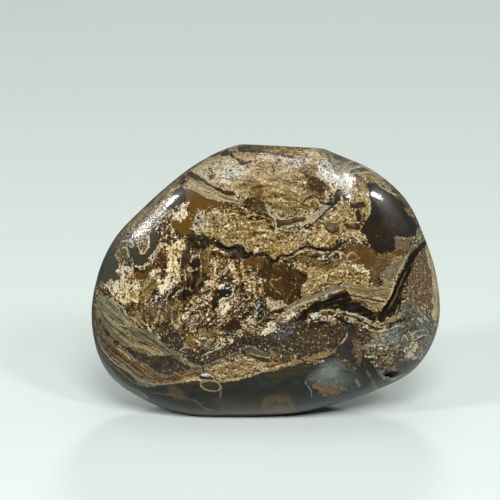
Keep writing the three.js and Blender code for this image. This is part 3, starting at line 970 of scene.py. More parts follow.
patch("red granular rim", RED_SUGAR, (
    (420, 246), (428, 238), (444, 244), (450, 290), (448, 320), (430, 326), (416, 322), (402, 322),
    (396, 314), (400, 302), (406, 284), (412, 264)))
band("tan strip of the rim", RIM_TAN, (
    (427, 236), (433, 262), (438, 290), (437, 318), (431, 342), (422, 360)), (5, 8, 10, 10, 8, 6))
patch("laminated fold", FOLD_TAN, (
    (352, 283), (362, 286), (372, 287), (384, 284), (392, 284), (393, 292), (389, 300), (380, 310),
    (370, 305), (357, 300), (350, 300), (347, 296), (348, 289)), dip=12)
band("grey band to the fold", FOLD_GREY, (
    (268, 328), (280, 318), (292, 308), (304, 300), (322, 294), (338, 288),
    (350, 284)), (3, 6, 8, 8, 7, 6, 3))
vein("cream line of the grey band", (204, 194, 166), (
    (276, 320), (290, 309), (300, 304), (322, 298), (338, 291), (350, 287)), 1.5)
patch("black-brown band of the fold", VEIN_BROWN, (
    (298, 319), (309, 305), (324, 301), (340, 294), (348, 291), (351, 299), (358, 303), (370, 309),
    (378, 313), (384, 314), (380, 320), (374, 321), (362, 317), (352, 313), (338, 310), (320, 310),
    (310, 314), (303, 321)), dip=-15)
vein("dark edge of the fold", BLACK_LINE, ((300, 320), (309, 309), (324, 304), (340, 297), (348, 294)), 1.5)
for colour, width, points in (
    ((92, 70, 42), 1.3, ((350, 288), (360, 290), (372, 291), (384, 289), (390, 287))),
    ((92, 70, 42), 1.3, ((349, 293), (360, 295.5), (372, 297), (382, 296), (389, 293))),
    ((80, 60, 36), 1.2, ((352, 298), (362, 300.5), (374, 303.5), (382, 302))),
):
    vein("fold layer", colour, points, width)
band("black diagonal vein", VEIN_BROWN, (
    (423, 243), (417, 251), (410, 261), (405, 275), (400, 284), (397, 293), (393, 302), (388, 310),
    (381, 318)), (3, 4.5, 5.5, 6.5, 7.5, 8, 8.5, 9, 8))
vein("black edge, outer", (18, 11, 5), (
    (420, 248), (413, 260), (408, 275), (404, 285), (401, 295), (397, 305), (393, 312), (386, 320)), 2.6)
vein("black edge, inner", (22, 13, 6), (
    (414, 254), (407, 264), (402, 276), (396, 286), (393, 295), (389, 303), (383, 311), (377, 317)), 2.2)
vein("tan core of the vein", (118, 92, 58), (
    (407, 270), (401, 284), (397, 293), (393, 302), (388, 310)), 1.5)
vein("cream border of the vein", (198, 182, 144), (
    (412, 251), (406, 258), (401, 267), (397, 278), (392, 288), (390, 296), (385, 304), (378, 311)), 1.6)

patch("cream band of the fold's foot", rock((178, 164, 130), grain=0.5, mottle=0.5), (
    (336, 312), (350, 314), (360, 317), (368, 320), (375, 323), (380, 324), (386, 321), (392, 317),
    (398, 312), (401, 315), (396, 321), (388, 325), (380, 328), (370, 326), (358, 321), (344, 317)))
for width, points in (
    (2.0, ((340, 314), (352, 317), (362, 321), (370, 325), (376, 328.5), (382, 328))),
    (1.8, ((380, 327), (386, 324), (392, 322.5), (398, 321), (406, 320))),
    (2.2, ((401, 298), (399, 308), (395, 317))),
):
    vein("black foot", BLACK_LINE, points, width)
vein("white foot", (226, 218, 196), (
    (362, 324), (368, 328), (373, 330.5), (379, 331.5), (386, 330), (395, 326.5), (404, 323)), 1.3)
vein("white edge of the foot", (206, 196, 170), ((338, 311.5), (350, 313.5), (362, 317), (372, 321.5)), 1.3)
patch("dark under the fold", rock((58, 44, 34), grain=0.4, mottle=0.4), (
    (306, 324), (314, 321), (324, 321), (332, 325), (328, 330), (316, 330)))
band("grey line under the fold", GREY_SUGAR, (
    (306, 323), (314, 317), (324, 315), (336, 317), (348, 322), (358, 327)), (1.5, 3, 2.5, 2.5, 2.5, 1))
vein("black slit", BLACK_LINE, ((336, 318), (344, 322), (354, 324)), 3.0)

# ---------------------------------------------------------------------------
# The low right: grey slate with white scratches, cream speckle, and the small open vug, which the solid
# has too.
# ---------------------------------------------------------------------------
GREY_SLATE = rock((112, 112, 102), grain=0.80, mottle=0.70)
SCRATCH = (214, 208, 188)

patch("grey slate right", GREY_SLATE, (
    (392, 324), (400, 314), (404, 304), (414, 306), (424, 312), (432, 322), (436, 340), (430, 356),
    (420, 366), (408, 378), (396, 384), (380, 378), (372, 366), (362, 360), (354, 350), (360, 340),
    (372, 334)), soft=1.5)
patch("brown speckle right", rock((80, 64, 46), grain=1.0, mottle=0.7), (
    (354, 346), (366, 347), (380, 345), (396, 346), (408, 350), (404, 360), (394, 368), (380, 372),
    (366, 366), (356, 358)), soft=2)
veil("slate island", (120, 126, 124), (
    (368, 344), (376, 339), (386, 335), (394, 331), (402, 330), (400, 340), (397, 348), (384, 347),
    (374, 346)), 0.75, 3.5)
veil("brown shade by the scratches", (78, 66, 50), (
    (400, 318), (412, 314), (416, 328), (408, 334), (400, 330)), 0.5, 4.0)
patch("cream speckle", rock((120, 104, 78), grain=1.3, mottle=0.9), (
    (368, 350), (376, 346), (388, 346), (386, 351), (376, 355)), soft=2.5)
patch("cream swirl", WHITE_SUGAR, (
    (405, 352), (409, 345), (415, 343), (419, 347), (416, 354), (410, 357)), soft=1.6)
patch("olive of the swirl", rock((110, 104, 72), grain=0.5, mottle=0.4), (
    (402, 343), (406, 337), (410, 341), (407, 347)), soft=1.5)
patch("brown under the swirl", rock((78, 68, 56), grain=0.4, mottle=0.4), (
    (398, 362), (408, 360), (420, 359), (418, 367), (408, 373), (398, 371)), soft=2)
patch("tan patch by the foot", rock((162, 138, 98), grain=0.5, mottle=0.4), (
    (385, 322), (390, 317), (397, 314), (396, 320), (390, 323)))
for width, points in (
    (1.2, ((400, 343), (402, 338), (404, 335), (406, 338), (408, 342))),
    (1.5, ((411, 336), (414, 333), (419, 331), (425, 330))),
    (1.2, ((410, 344), (414, 340), (419, 337), (427, 334))),
    (1.0, ((408, 331), (411, 333), (413, 337), (411, 340))),
    (1.3, ((420, 314), (425, 317), (429, 321), (428, 326))),
    (1.4, ((417, 317), (420, 320), (424, 323))),
    (1.0, ((427, 329), (428.5, 333), (427, 337))),
    (1.4, ((400, 350), (404, 351), (408, 355), (414, 355))),
    (1.6, ((412, 361), (415, 358.5), (418, 356))),
    (1.4, ((404, 358), (408, 357), (412, 358))),
    (1.3, ((396, 348), (398, 345), (399.5, 342))),
):
    vein("scratch", SCRATCH, points, width)
for width, points in (
    (1.2, ((402, 359), (407, 353), (411, 348), (414, 343))),
    (1.2, ((412, 341), (418, 340), (424, 337))),
    (1.1, ((396, 346), (400, 340), (403, 334), (408, 331))),
):
    vein("dark scratch", (40, 36, 28), points, width)
patch("dark of the vug", rock((20, 17, 14), grain=0.1, mottle=0.2), (
    (384, 372), (387, 370), (395, 370.5), (401, 372), (397, 377), (390, 378), (385, 377)))
# Painted glint: light caught on the crystals in the vug, painted into the colour.
vein("sparkle of the vug", (180, 184, 180), ((384, 374), (385, 377), (389, 378.5)), 1.2)
vein("crack by the vug", (20, 16, 12), ((378, 369), (386, 370), (398, 371), (404, 372)), 1.2)

# ---------------------------------------------------------------------------
# The lower middle: a field of fine purple-brown speckle with a bluish spot, the grey wavy line that closes
# it, and the sugary gold lens below.
# ---------------------------------------------------------------------------
patch("purple field", PURPLE_SUGAR, (
    (184, 346), (196, 351), (206, 350), (218, 344), (230, 338), (244, 330), (262, 332), (278, 322),
    (290, 316), (302, 322), (318, 328), (336, 324), (352, 324), (366, 330), (372, 338), (362, 346),
    (354, 352), (344, 344), (336, 350), (324, 356), (310, 359), (290, 362), (276, 360), (262, 353),
    (250, 347), (240, 352), (222, 361), (206, 368), (196, 367), (187, 362), (180, 356)))
patch("purple swirl", PURPLE_SUGAR, (
    (163, 318), (170, 320), (176, 332), (184, 342), (192, 350), (188, 356), (178, 352), (168, 342),
    (162, 330)))
veil("bluish spot", (86, 94, 104), (
    (272, 330), (278, 325), (288, 325), (293, 332), (288, 339), (278, 339)), 0.7, 4.0)
veil("dark of the purple field", (56, 44, 36), (
    (190, 350), (206, 352), (222, 346), (240, 338), (262, 336), (262, 346), (240, 346), (222, 356),
    (206, 364), (192, 360)), 0.5, 5.0)
veil("red of the purple field", (96, 66, 44), (
    (296, 330), (312, 328), (330, 330), (350, 332), (360, 338), (344, 342), (326, 346),
    (306, 346)), 0.5, 6.0)
band("white stream", WHITE_SUGAR, ((262, 333), (272, 327), (281, 321), (292, 316)), (2, 5, 5, 2))
patch("red-brown patch", rock((70, 44, 26), grain=0.2, mottle=0.4), (
    (222, 330), (228, 323), (237, 321), (240, 328), (232, 332)), soft=2.5)
patch("gold-cream patch", PALE_GRAINS, (
    (219, 342), (226, 337), (234, 331), (237, 334), (230, 342), (222, 347)))
vein("cream line 1", CREAM, ((201, 357), (207, 353), (213, 352), (219, 349), (223, 346), (227, 342)), 1.5)
vein("cream line 2", CREAM, ((264, 329), (256, 325), (250, 322), (245, 325), (240, 328)), 1.5)
vein("whitish thread", (190, 176, 146), ((183, 331), (190, 325), (201, 322)), 1.4)
vein("lower thread", (190, 176, 146), ((180, 351), (184, 348), (190, 347)), 1.3)

GOLD_LENS = rock((146, 120, 76), grain=1.10, mottle=0.90, lamina=0.3)
patch("low gold lens", GOLD_LENS, (
    (178, 379), (186, 373), (196, 370), (204, 370), (211, 367), (219, 365), (226, 361), (236, 355),
    (244, 350), (252, 349), (260, 354), (270, 359), (280, 360), (290, 362), (304, 359), (306, 363),
    (292, 366), (280, 369), (270, 371), (258, 373), (246, 378), (234, 380), (220, 381), (204, 379),
    (192, 379), (184, 382)), dip=-18)
patch("olive patch", rock((98, 90, 66), grain=0.3, mottle=0.2, lamina=0.5), (
    (243, 351), (249, 348), (258, 350), (268, 354), (272, 360), (262, 360), (250, 357)), dip=15)
vein("grey wavy line", (136, 128, 108), (
    (183, 360), (190, 363), (196, 366), (203, 367), (210, 364), (217, 361), (222, 359), (228, 356),
    (233, 353.5), (238, 352), (241, 350.5), (244, 348), (248, 346.5), (252, 346.5), (256, 348), (259, 350),
    (263, 352), (269, 353)), 2.0)
vein("second wavy line", (120, 110, 86), (
    (196, 370), (204, 371), (212, 367), (222, 363), (232, 357), (240, 354), (246, 351)), 1.3)
vein("pale line of the lens", (186, 172, 140), (
    (250, 353.5), (258, 356), (264, 357.5), (271, 358), (276, 359), (281, 361)), 1.3)
band("olive shadow of the lens", rock((66, 58, 38), grain=0.3, mottle=0.4), (
    (252, 356), (264, 360), (276, 362.5)), (1.5, 3.5, 1.5))
vein("gold line of the lens", (168, 128, 68), (
    (262, 366), (270, 363.5), (276, 363), (285, 364), (291, 361.5), (304, 360)), 1.6)
vein("cream foot of the lens", (190, 168, 124), (
    (182, 381), (187, 378.5), (195, 378), (206, 380), (221, 380.5), (235, 379.5), (245, 377.5),
    (258, 373.5), (270, 370)), 1.4)
patch("orange bit", rock((150, 112, 70), grain=0.3, mottle=0.2), (
    (269, 349), (273, 351), (277, 356), (273, 357), (270, 354)))

# ---------------------------------------------------------------------------
# The low left: layers of tan, purple-brown, orange and slate that sweep down from the left rim and run
# out under the gold lens.
# ---------------------------------------------------------------------------
LAYERED_OLIVE = rock((124, 114, 86), grain=0.35, mottle=0.25, lamina=1.0)
LAYERED_GREY = rock((138, 136, 114), grain=0.40, mottle=0.40, lamina=1.1)
WEDGE = rock((66, 56, 46), grain=0.55, mottle=0.25, lamina=0.2)
SLATE = rock((47, 48, 36), grain=0.10, mottle=0.20, lamina=0.30)
ORANGE = rock((120, 84, 46), grain=0.5, mottle=0.35, lamina=0.5)

patch("ground of the low left", LAYERED_OLIVE, (
    (84, 290), (98, 300), (112, 316), (128, 326), (146, 330), (160, 340), (172, 352), (186, 360),
    (196, 368), (190, 378), (180, 384), (160, 390), (140, 396), (118, 384), (98, 362), (86, 330)), dip=40)
band("rim of the low left", rock((88, 92, 80), grain=0.25, mottle=0.25), (
    (92, 276), (90, 308), (94, 335), (102, 359), (115, 377), (131, 392), (151, 404)), (6, 7, 8, 8, 8, 8, 8))
patch("slate lens of the left", LAYERED_GREY, (
    (95, 296), (106, 297), (116, 303), (126, 314), (133, 325), (124, 327), (113, 322), (104, 312),
    (98, 304)), dip=42)
band("olive-grey band", LAYERED_OLIVE, (
    (98, 304), (108, 317), (122, 328), (138, 335), (152, 341), (164, 349), (176, 357),
    (188, 365)), (3, 6, 8, 10, 11, 10, 8, 4))
band("tan-gold band", rock((158, 140, 104), grain=0.5, mottle=0.3, lamina=0.8), (
    (99, 311), (107, 321), (118, 333), (132, 343), (146, 348), (160, 353),
    (168, 355)), (2, 5, 6, 6, 5, 5, 2))
patch("purple-brown wedge", WEDGE, (
    (97, 317), (104, 325), (112, 336), (119, 343), (128, 349), (140, 353), (150, 356), (160, 358),
    (170, 354), (182, 360), (192, 368), (184, 373), (172, 374), (160, 373), (150, 367), (140, 360),
    (128, 353), (116, 345), (106, 334), (99, 323)))
band("orange band", ORANGE, (
    (93, 310), (96, 325), (101, 334), (108, 344), (116, 353), (125, 359), (136, 365), (147, 373),
    (157, 379), (168, 380), (180, 379), (190, 376),
    (202, 375)), (2, 2.5, 3, 3, 3.5, 3.5, 3.5, 3.5, 4, 4, 3.5, 3, 2))
band("slate band", SLATE, (
    (92, 332), (99, 345), (107, 357), (116, 368), (127, 379), (138, 387),
    (150, 393)), (2, 5, 8, 9, 9, 7, 4))
vein("cream line of the orange band", (176, 154, 112), (
    (96, 336), (102, 347), (110, 357), (118, 366), (130, 372), (139, 379), (150, 383.5), (161, 384),
    (172, 383), (184, 380), (197, 377)), 1.8)
vein("bright thread", (176, 156, 112), (
    (99, 309), (104, 315), (110, 321), (116, 326), (121, 330), (131, 339), (141, 344), (155, 349),
    (168, 353)), 1.8)
vein("grey thread 1", (152, 144, 120), (
    (143, 329), (152, 334), (158, 340), (168, 349), (176, 357), (185, 361)), 1.2)
vein("grey thread 2", (146, 136, 110), ((132, 327), (144, 335), (154, 341), (166, 352)), 1.1)
vein("cream border of the slate lens", (184, 172, 140), (
    (103, 311), (110, 318), (114, 322), (119, 325), (125, 326.5), (133, 326)), 1.4)
vein("cream line over the slate lens", (196, 180, 144), (
    (110, 297), (117, 303), (122, 308), (129, 319)), 1.5)
vein("tan line at the rim", (158, 136, 98), ((95, 288), (98, 302), (103, 311), (110, 320)), 1.4)
vein("layer in the slate lens", (96, 90, 70), ((99, 302), (108, 310), (118, 318), (126, 323)), 1.0)
vein("layer in the slate lens 2", (96, 90, 70), ((104, 300), (114, 309), (124, 319)), 1.0)
for colour, width, points in (
    ((58, 52, 38), 1.3, ((100, 322), (110, 336), (122, 346), (136, 352), (150, 357), (164, 362))),
    ((58, 52, 38), 1.2, ((96, 303), (104, 318), (116, 330), (130, 339), (146, 345), (160, 351))),
    ((62, 58, 44), 1.3, ((136, 330), (148, 337), (158, 345), (170, 353), (182, 361))),
    ((62, 58, 44), 1.1, ((128, 332), (142, 339), (156, 347), (168, 355))),
    ((46, 40, 28), 1.3, ((96, 330), (104, 342), (114, 352), (126, 361), (138, 369), (148, 377), (162, 382))),
):
    vein("dark layer", colour, points, width)
vein("orange layer", (136, 98, 58), (
    (96, 318), (102, 333), (112, 344), (124, 352), (136, 362), (150, 374), (164, 378)), 1.3)
vein("orange layer 2", (134, 98, 58), ((166, 376), (178, 374), (190, 371), (202, 372)), 1.2)
vein("tan layer 1", (124, 104, 68), ((94, 342), (104, 356), (116, 368), (130, 380), (146, 388)), 1.2)
vein("tan layer 2", (110, 94, 64), ((99, 360), (110, 373), (124, 384), (142, 394)), 1.2)
vein("dark foot of the orange band", (44, 38, 28), (
    (99, 338), (108, 350), (117, 359), (128, 367), (138, 374), (148, 380)), 1.3)

# ---------------------------------------------------------------------------
# The bottom: smooth dark slate with a tan seam, a small cream ring, gold patches and a grey blotch, and the
# slate finger that rises from it.
# ---------------------------------------------------------------------------
patch("bottom slate", SLATE, (
    (146, 390), (156, 386), (172, 385), (186, 382), (204, 381), (222, 382), (240, 380), (258, 375),
    (272, 372), (284, 368), (300, 364), (316, 363), (334, 358), (344, 352), (352, 344), (360, 352),
    (372, 366), (384, 380), (398, 384), (404, 392), (380, 404), (340, 416), (290, 426), (230, 430),
    (180, 428), (154, 414)), dip=-6)
patch("slate finger", rock((56, 55, 50), grain=0.05, mottle=0.15), (
    (322, 358), (332, 352), (338, 346), (341, 339), (346, 333), (350, 326), (355, 329), (357, 340),
    (356, 350), (354, 360), (346, 366), (334, 364)))
patch("gold patch by the finger", rock((152, 124, 74), grain=0.6, mottle=0.5), (
    (299, 360), (306, 357), (314, 354), (323, 352), (330, 348), (337, 348), (336, 354), (326, 357),
    (316, 362), (308, 362)))
vein("dark line by the finger", (40, 30, 18), ((318, 359), (326, 358), (336, 356)), 1.3)
vein("cream streak of the finger", (196, 182, 148), ((336, 346), (342, 342), (346, 336), (348, 331)), 1.2)
patch("tan strip right of the finger", rock((104, 86, 60), grain=0.5, mottle=0.4), (
    (352, 340), (358, 338), (362, 350), (362, 362), (356, 364), (355, 352)))
veil("grey blotch", (126, 130, 124), (
    (308, 380), (314, 371), (324, 363), (334, 360), (341, 363), (344, 374), (350, 379), (344, 386),
    (330, 385), (318, 383)), 0.8, 5.0)
veil("pale heart of the blotch", (160, 162, 158), (
    (322, 372), (330, 366), (337, 368), (335, 376), (326, 378)), 0.6, 4.0)
veil("grey spot by the smear", (96, 100, 98), (
    (346, 372), (356, 370), (362, 378), (360, 388), (350, 390), (345, 382)), 0.5, 4.0)
patch("brown patch of the blotch", rock((84, 68, 48), grain=0.5, mottle=0.4), (
    (340, 362), (350, 361), (356, 366), (352, 374), (344, 370)))
patch("gold patch low", rock((124, 98, 58), grain=0.4, mottle=0.5), (
    (312, 385), (320, 381), (330, 383), (342, 386), (348, 389), (340, 393), (332, 395),
    (322, 394)), soft=2.5)
band("dark diagonal", SLATE, ((366, 358), (372, 367), (377, 377), (379, 392)), (3, 5, 6, 5))
band("tan edge of the diagonal", rock((108, 94, 66), grain=0.3, mottle=0.2), (
    (364, 364), (369, 374), (373, 382), (376, 392)), (1, 3, 4, 2))
vein("pale blue streak", (128, 138, 136), ((304, 380), (308, 386), (311, 392), (312, 399)), 1.8)
vein("blue-grey smear", (130, 138, 136), ((356, 379), (358, 383), (360, 388)), 2.6)
vein("ring arc", (110, 98, 70), ((327, 392), (328, 396), (331, 397.5), (336, 396)), 1.2)
patch("oval", rock((62, 58, 44), grain=0.2, mottle=0.3), (
    (201, 384), (208, 381), (217, 381), (220, 386), (216, 390), (208, 390)))
vein("cream ring", (176, 156, 118), (
    (200, 384), (204, 381.5), (211, 380.5), (218, 381.5), (220, 387), (216, 390.5), (208, 390.5),
    (203, 388)), 1.6, closed=True)
vein("cream seam", (160, 144, 110), ((219.5, 379), (220, 388), (220.5, 399)), 1.5)
vein("black bar", (20, 16, 10), ((199, 378), (206, 379), (214, 378.5)), 2.0)
vein("white dots", (232, 222, 204), ((201, 375.5), (206, 375), (211, 375.5)), 2.4)
vein("tan seam", (118, 100, 66), (
    (148, 392), (160, 394), (170, 395), (180, 397), (193, 400), (202, 406), (208, 409), (217, 411)), 1.6)
veil("tan bloom left", (104, 86, 56), (
    (168, 387), (178, 388), (188, 398), (180, 400), (170, 395)), 0.8, 2.5)
veil("olive band of the bottom", (84, 74, 46), (
    (216, 400), (228, 400), (240, 404), (262, 405), (266, 413), (250, 418), (226, 414)), 0.75, 3.5)
veil("tan bloom right", (116, 92, 54), (
    (262, 404), (267, 397), (275, 395), (284, 393), (291, 397), (294, 405), (298, 416), (276, 419),
    (265, 413)), 0.85, 2.5)
veil("olive-brown over the slate", (74, 64, 42), (
    (270, 372), (284, 367), (302, 363), (318, 362), (312, 368), (300, 374), (284, 378),
    (270, 378)), 0.7, 3.0)
# Painted shade: darkens a band along the underside, where the stone faces the shaded floor.
veil("dark belly", (34, 34, 28), (
    (190, 392), (230, 388), (262, 386), (300, 384), (304, 394), (262, 398), (220, 396),
    (190, 396)), 0.5, 4.0)
vein("arc of the bloom", (62, 50, 34), ((267, 411), (273, 405), (281, 403), (288, 406), (293, 412)), 1.4)

# ---------------------------------------------------------------------------
# The stone's surface. Each layer of ground lies over the one below with a ragged edge, then come the
# veins, then the grains and clouds of the sugary chert. All of it is under one high polish.
# ---------------------------------------------------------------------------
LIGHT_GRAIN = tone(200, 172, 126)
WHITE_GRAIN = tone(250, 238, 212)
DARKENED = (0.20, 0.14, 0.07)  # what a dark grain leaves of the red, green and blue
DARK_SEAM = tone(52, 36, 18)
PALE_SEAM = tone(198, 178, 138)
GOLD_STAIN = tone(150, 108, 44)
GREY_STAIN = tone(168, 160, 146)
FINE_PER_METRE = 3500  # how close the grains, clumps, clouds and flakes lie
CLUMPS_PER_METRE = 1500
CLOUDS_PER_METRE = 420
FLAKES_PER_METRE = 2700
LAYERS_PER_UNIT = 0.42
EDGE_FRAY = (0.35, 0.65)  # how far the grains and the clumps fray every edge
LAYER_FRAY = 0.5  # and how far the clumps fray the thin layers
LAYER_GAIN = 5.0
PIT_DEPTH = 0.006
LABEL_LENGTH = 60

stone, stone_tree = new_material("banded_chert")
gloss = stone_tree.nodes["Principled BSDF"]
body_data.materials.append(stone)
tree = stone_tree


def node(kind, **settings):
    made = tree.nodes.new(kind)
    for setting, value in settings.items():
        setattr(made, setting, value)
    return made


def feed(socket, source):
    """Joins a socket to another node's output, or sets it to a number."""
    if isinstance(source, bpy.types.NodeSocket):
        tree.links.new(source, socket)
    else:
        socket.default_value = source


def reckon(operation, *sources):
    made = node("ShaderNodeMath", operation=operation)
    for socket, source in zip(made.inputs, sources):
        feed(socket, source)
    return made.outputs[0]


def ramp(value, low, high):
    """0 at low, 1 at high, and smooth between."""
    made = node("ShaderNodeMapRange", interpolation_type="SMOOTHSTEP", clamp=False)
    feed(made.inputs["Value"], value)
    made.inputs["From Min"].default_value = low
    made.inputs["From Max"].default_value = high
    return made.outputs["Result"]


def blend(share, below, above, kind="RGBA", way="MIX"):
    made = node("ShaderNodeMix", data_type=kind, blend_type=way)
    sockets = [socket for socket in made.inputs if socket.enabled]
    for socket, source in zip(sockets, (share, below, above)):
        feed(socket, source)
    return next(socket for socket in made.outputs if socket.enabled)


def split(source, kind="ShaderNodeSeparateXYZ"):
    made = node(kind)
    feed(made.inputs[0], source)
    return made.outputs


def stored(name, label, values):
    """Keeps three values for every point of the skin and reads them back in the material."""
    attribute = body_data.attributes.new(name, "FLOAT_VECTOR", "POINT")
    attribute.data.foreach_set("vector", values.astype(np.float32).ravel())
    return node("ShaderNodeAttribute", attribute_name=name, label=label[:LABEL_LENGTH]).outputs["Vector"]


def stored_layers(kind, layers):
    """The layers of one kind of marking, from the lowest, each labelled with its markings' names."""
    for i, layer in enumerate(layers):
        yield stored(f"{kind}_{i}", ", ".join(layer["names"]), layer["laid"])


def speckle(per_metre, detail, roughness, distortion=0.0, gain=5.0, where=None):
    """Noise around zero, mostly between -1 and 1."""
    made = node("ShaderNodeTexNoise")
    feed(made.inputs["Vector"], where or coordinates)
    made.inputs["Scale"].default_value = per_metre
    made.inputs["Detail"].default_value = detail
    made.inputs["Roughness"].default_value = roughness
    made.inputs["Distortion"].default_value = distortion
    return reckon("MULTIPLY", reckon("SUBTRACT", made.outputs["Fac"], 0.5), gain)


STREAK_PER_METRE = 1900
STREAK_SHAPE = (0.27, 0.5, 1.0)  # drawn out along the grain, and less so through the stone


def streaks_along(dip):
    """Noise drawn out along one dip of the grain."""
    turned = node("ShaderNodeVectorRotate", rotation_type="Y_AXIS")
    feed(turned.inputs["Vector"], coordinates)
    turned.inputs["Angle"].default_value = -math.radians(dip)
    drawn = node("ShaderNodeVectorMath", operation="MULTIPLY")
    feed(drawn.inputs[0], turned.outputs[0])
    drawn.inputs[1].default_value = STREAK_SHAPE
    return speckle(STREAK_PER_METRE, 4.0, 0.62, 0.8, 7.0, drawn.outputs[0])


RAMP_STOPS = 32


def palette(name, colours):
    """A group of nodes that turns a number into a colour: constant colour ramps, one after another."""
    global tree
    tree = bpy.data.node_groups.new(name, "ShaderNodeTree")
    tree.interface.new_socket("Number", in_out="INPUT", socket_type="NodeSocketFloat")
    tree.interface.new_socket("Colour", in_out="OUTPUT", socket_type="NodeSocketColor")
    number = node("NodeGroupInput").outputs[0]
    chosen = None
    for first in range(0, len(colours), RAMP_STOPS):
        turn = reckon("MULTIPLY_ADD", number, 1 / RAMP_STOPS, (0.5 - first) / RAMP_STOPS)
        made = node("ShaderNodeValToRGB")
        feed(made.inputs["Fac"], turn)
        stops = made.color_ramp
        stops.interpolation = "CONSTANT"
        stops.elements.remove(stops.elements[1])
        for i, colour in enumerate(colours[first:first + RAMP_STOPS]):
            stop = stops.elements[0] if i == 0 else stops.elements.new(i / RAMP_STOPS)
            stop.position = i / RAMP_STOPS
            stop.color = (*colour, 1.0)
        if chosen is None:
            chosen = made.outputs["Color"]
        else:
            chosen = blend(reckon("GREATER_THAN", number, first - 0.5), chosen, made.outputs["Color"])
    feed(node("NodeGroupOutput").inputs[0], chosen)
    group = tree
    tree = stone_tree
    return group


def looked_up(group, number):
    made = node("ShaderNodeGroup", node_tree=group)
    feed(made.inputs[0], number)
    return made.outputs[0]


coordinates = node("ShaderNodeTexCoord").outputs["Object"]
fine = speckle(FINE_PER_METRE, detail=1.0, roughness=0.7, gain=8.0)
clumps = speckle(CLUMPS_PER_METRE, detail=3.0, roughness=0.65, distortion=1.2, gain=6.5)
clouds = speckle(CLOUDS_PER_METRE, detail=3.0, roughness=0.6, distortion=0.5)
straying = reckon("MULTIPLY_ADD", fine, EDGE_FRAY[0], reckon("MULTIPLY", clumps, EDGE_FRAY[1]))

level_share, slope_share, _ = split(stored("stream", "direction of the grain", stream_turns()))
streaks = 0.0
for dip, share in (
    (0, level_share),
    (90, reckon("MULTIPLY", level_share, -1.0)),
    (45, slope_share),
    (135, reckon("MULTIPLY", slope_share, -1.0)),
):
    streaks = reckon("MULTIPLY_ADD", streaks_along(dip), reckon("MAXIMUM", share, 0.0), streaks)

NO_EDGE = 9.0  # stands for far from any edge
SEAM_DEPTH = 1.4  # deeper in a field than this, holes in it have no seam
fills = stored_layers("fill", fill_layers)
laid = next(fills)
edge = NO_EDGE
for over in fills:
    number, inside, _ = split(over)
    reached = reckon("ADD", inside, straying)
    shown = reckon("GREATER_THAN", reached, 0.0)
    laid = blend(shown, laid, over, "VECTOR")
    soft = reckon("GREATER_THAN", reckon("FRACT", number), SOFT_MARK / 2)
    deep = reckon("MAXIMUM", reckon("SUBTRACT", inside, SEAM_DEPTH), 0.0)
    off = reckon("MULTIPLY_ADD", soft, NO_EDGE, reckon("ADD", deep, reckon("ABSOLUTE", reached)))
    edge = reckon("MINIMUM", reckon("MAXIMUM", edge, reckon("MULTIPLY", shown, NO_EDGE)), off)
ground, _, phase = split(laid)
colour = looked_up(palette("ground_colours", [each[0] for each in grounds]), ground)
marks = looked_up(palette("ground_marks", [each[1] for each in grounds]), ground)
grain, mottle, lamina = split(marks, "ShaderNodeSeparateColor")

across_layers = reckon("MULTIPLY_ADD", clumps, LAYER_FRAY, phase)
layers = node("ShaderNodeTexNoise", noise_dimensions="1D")
feed(layers.inputs["W"], across_layers)
layers.inputs["Scale"].default_value = LAYERS_PER_UNIT
layers.inputs["Detail"].default_value = 2.0
thin_layers = reckon("MULTIPLY", reckon("SUBTRACT", layers.outputs["Fac"], 0.5), LAYER_GAIN)

GOLD_SHARE = 0.7  # the most that a gold cloud and a grey one stain the ground
GREY_SHARE = 0.3
FULL_CLOUD = 1.2
gold = reckon("MULTIPLY", ramp(clouds, 0.0, FULL_CLOUD), mottle)
grey = reckon("MULTIPLY", ramp(clouds, 0.0, -FULL_CLOUD), mottle)
colour = blend(reckon("MULTIPLY", gold, GOLD_SHARE), colour, (*GOLD_STAIN, 1.0))
colour = blend(reckon("MULTIPLY", grey, GREY_SHARE), colour, (*GREY_STAIN, 1.0))

VEIL_CLUMPS = 0.25  # how patchy a veil is, and what it keeps between the clumps
VEIL_KEPT = 0.85
veil_palette = palette("veil_colours", [tone(*each) for each in veil_colours])
for over in stored_layers("veil", veil_layers):
    cloud, share, _ = split(over)
    share = reckon("MULTIPLY", share, reckon("MULTIPLY_ADD", clumps, VEIL_CLUMPS, VEIL_KEPT))
    colour = blend(share, colour, looked_up(veil_palette, cloud))

SEAM_WIDTH = (0.6, 0.1)  # a seam sets in and is full at these distances from an edge
DARK_PLACES = (0.3, -0.3)  # in which clouds seams are dark, and in which they are pale
PALE_PLACES = (0.2, 0.9)
seam = ramp(edge, *SEAM_WIDTH)
colour = blend(reckon("MULTIPLY", seam, ramp(clouds, *DARK_PLACES)), colour, (*DARK_SEAM, 1.0))
colour = blend(reckon("MULTIPLY", seam, ramp(clouds, *PALE_PLACES)), colour, (*PALE_SEAM, 1.0))

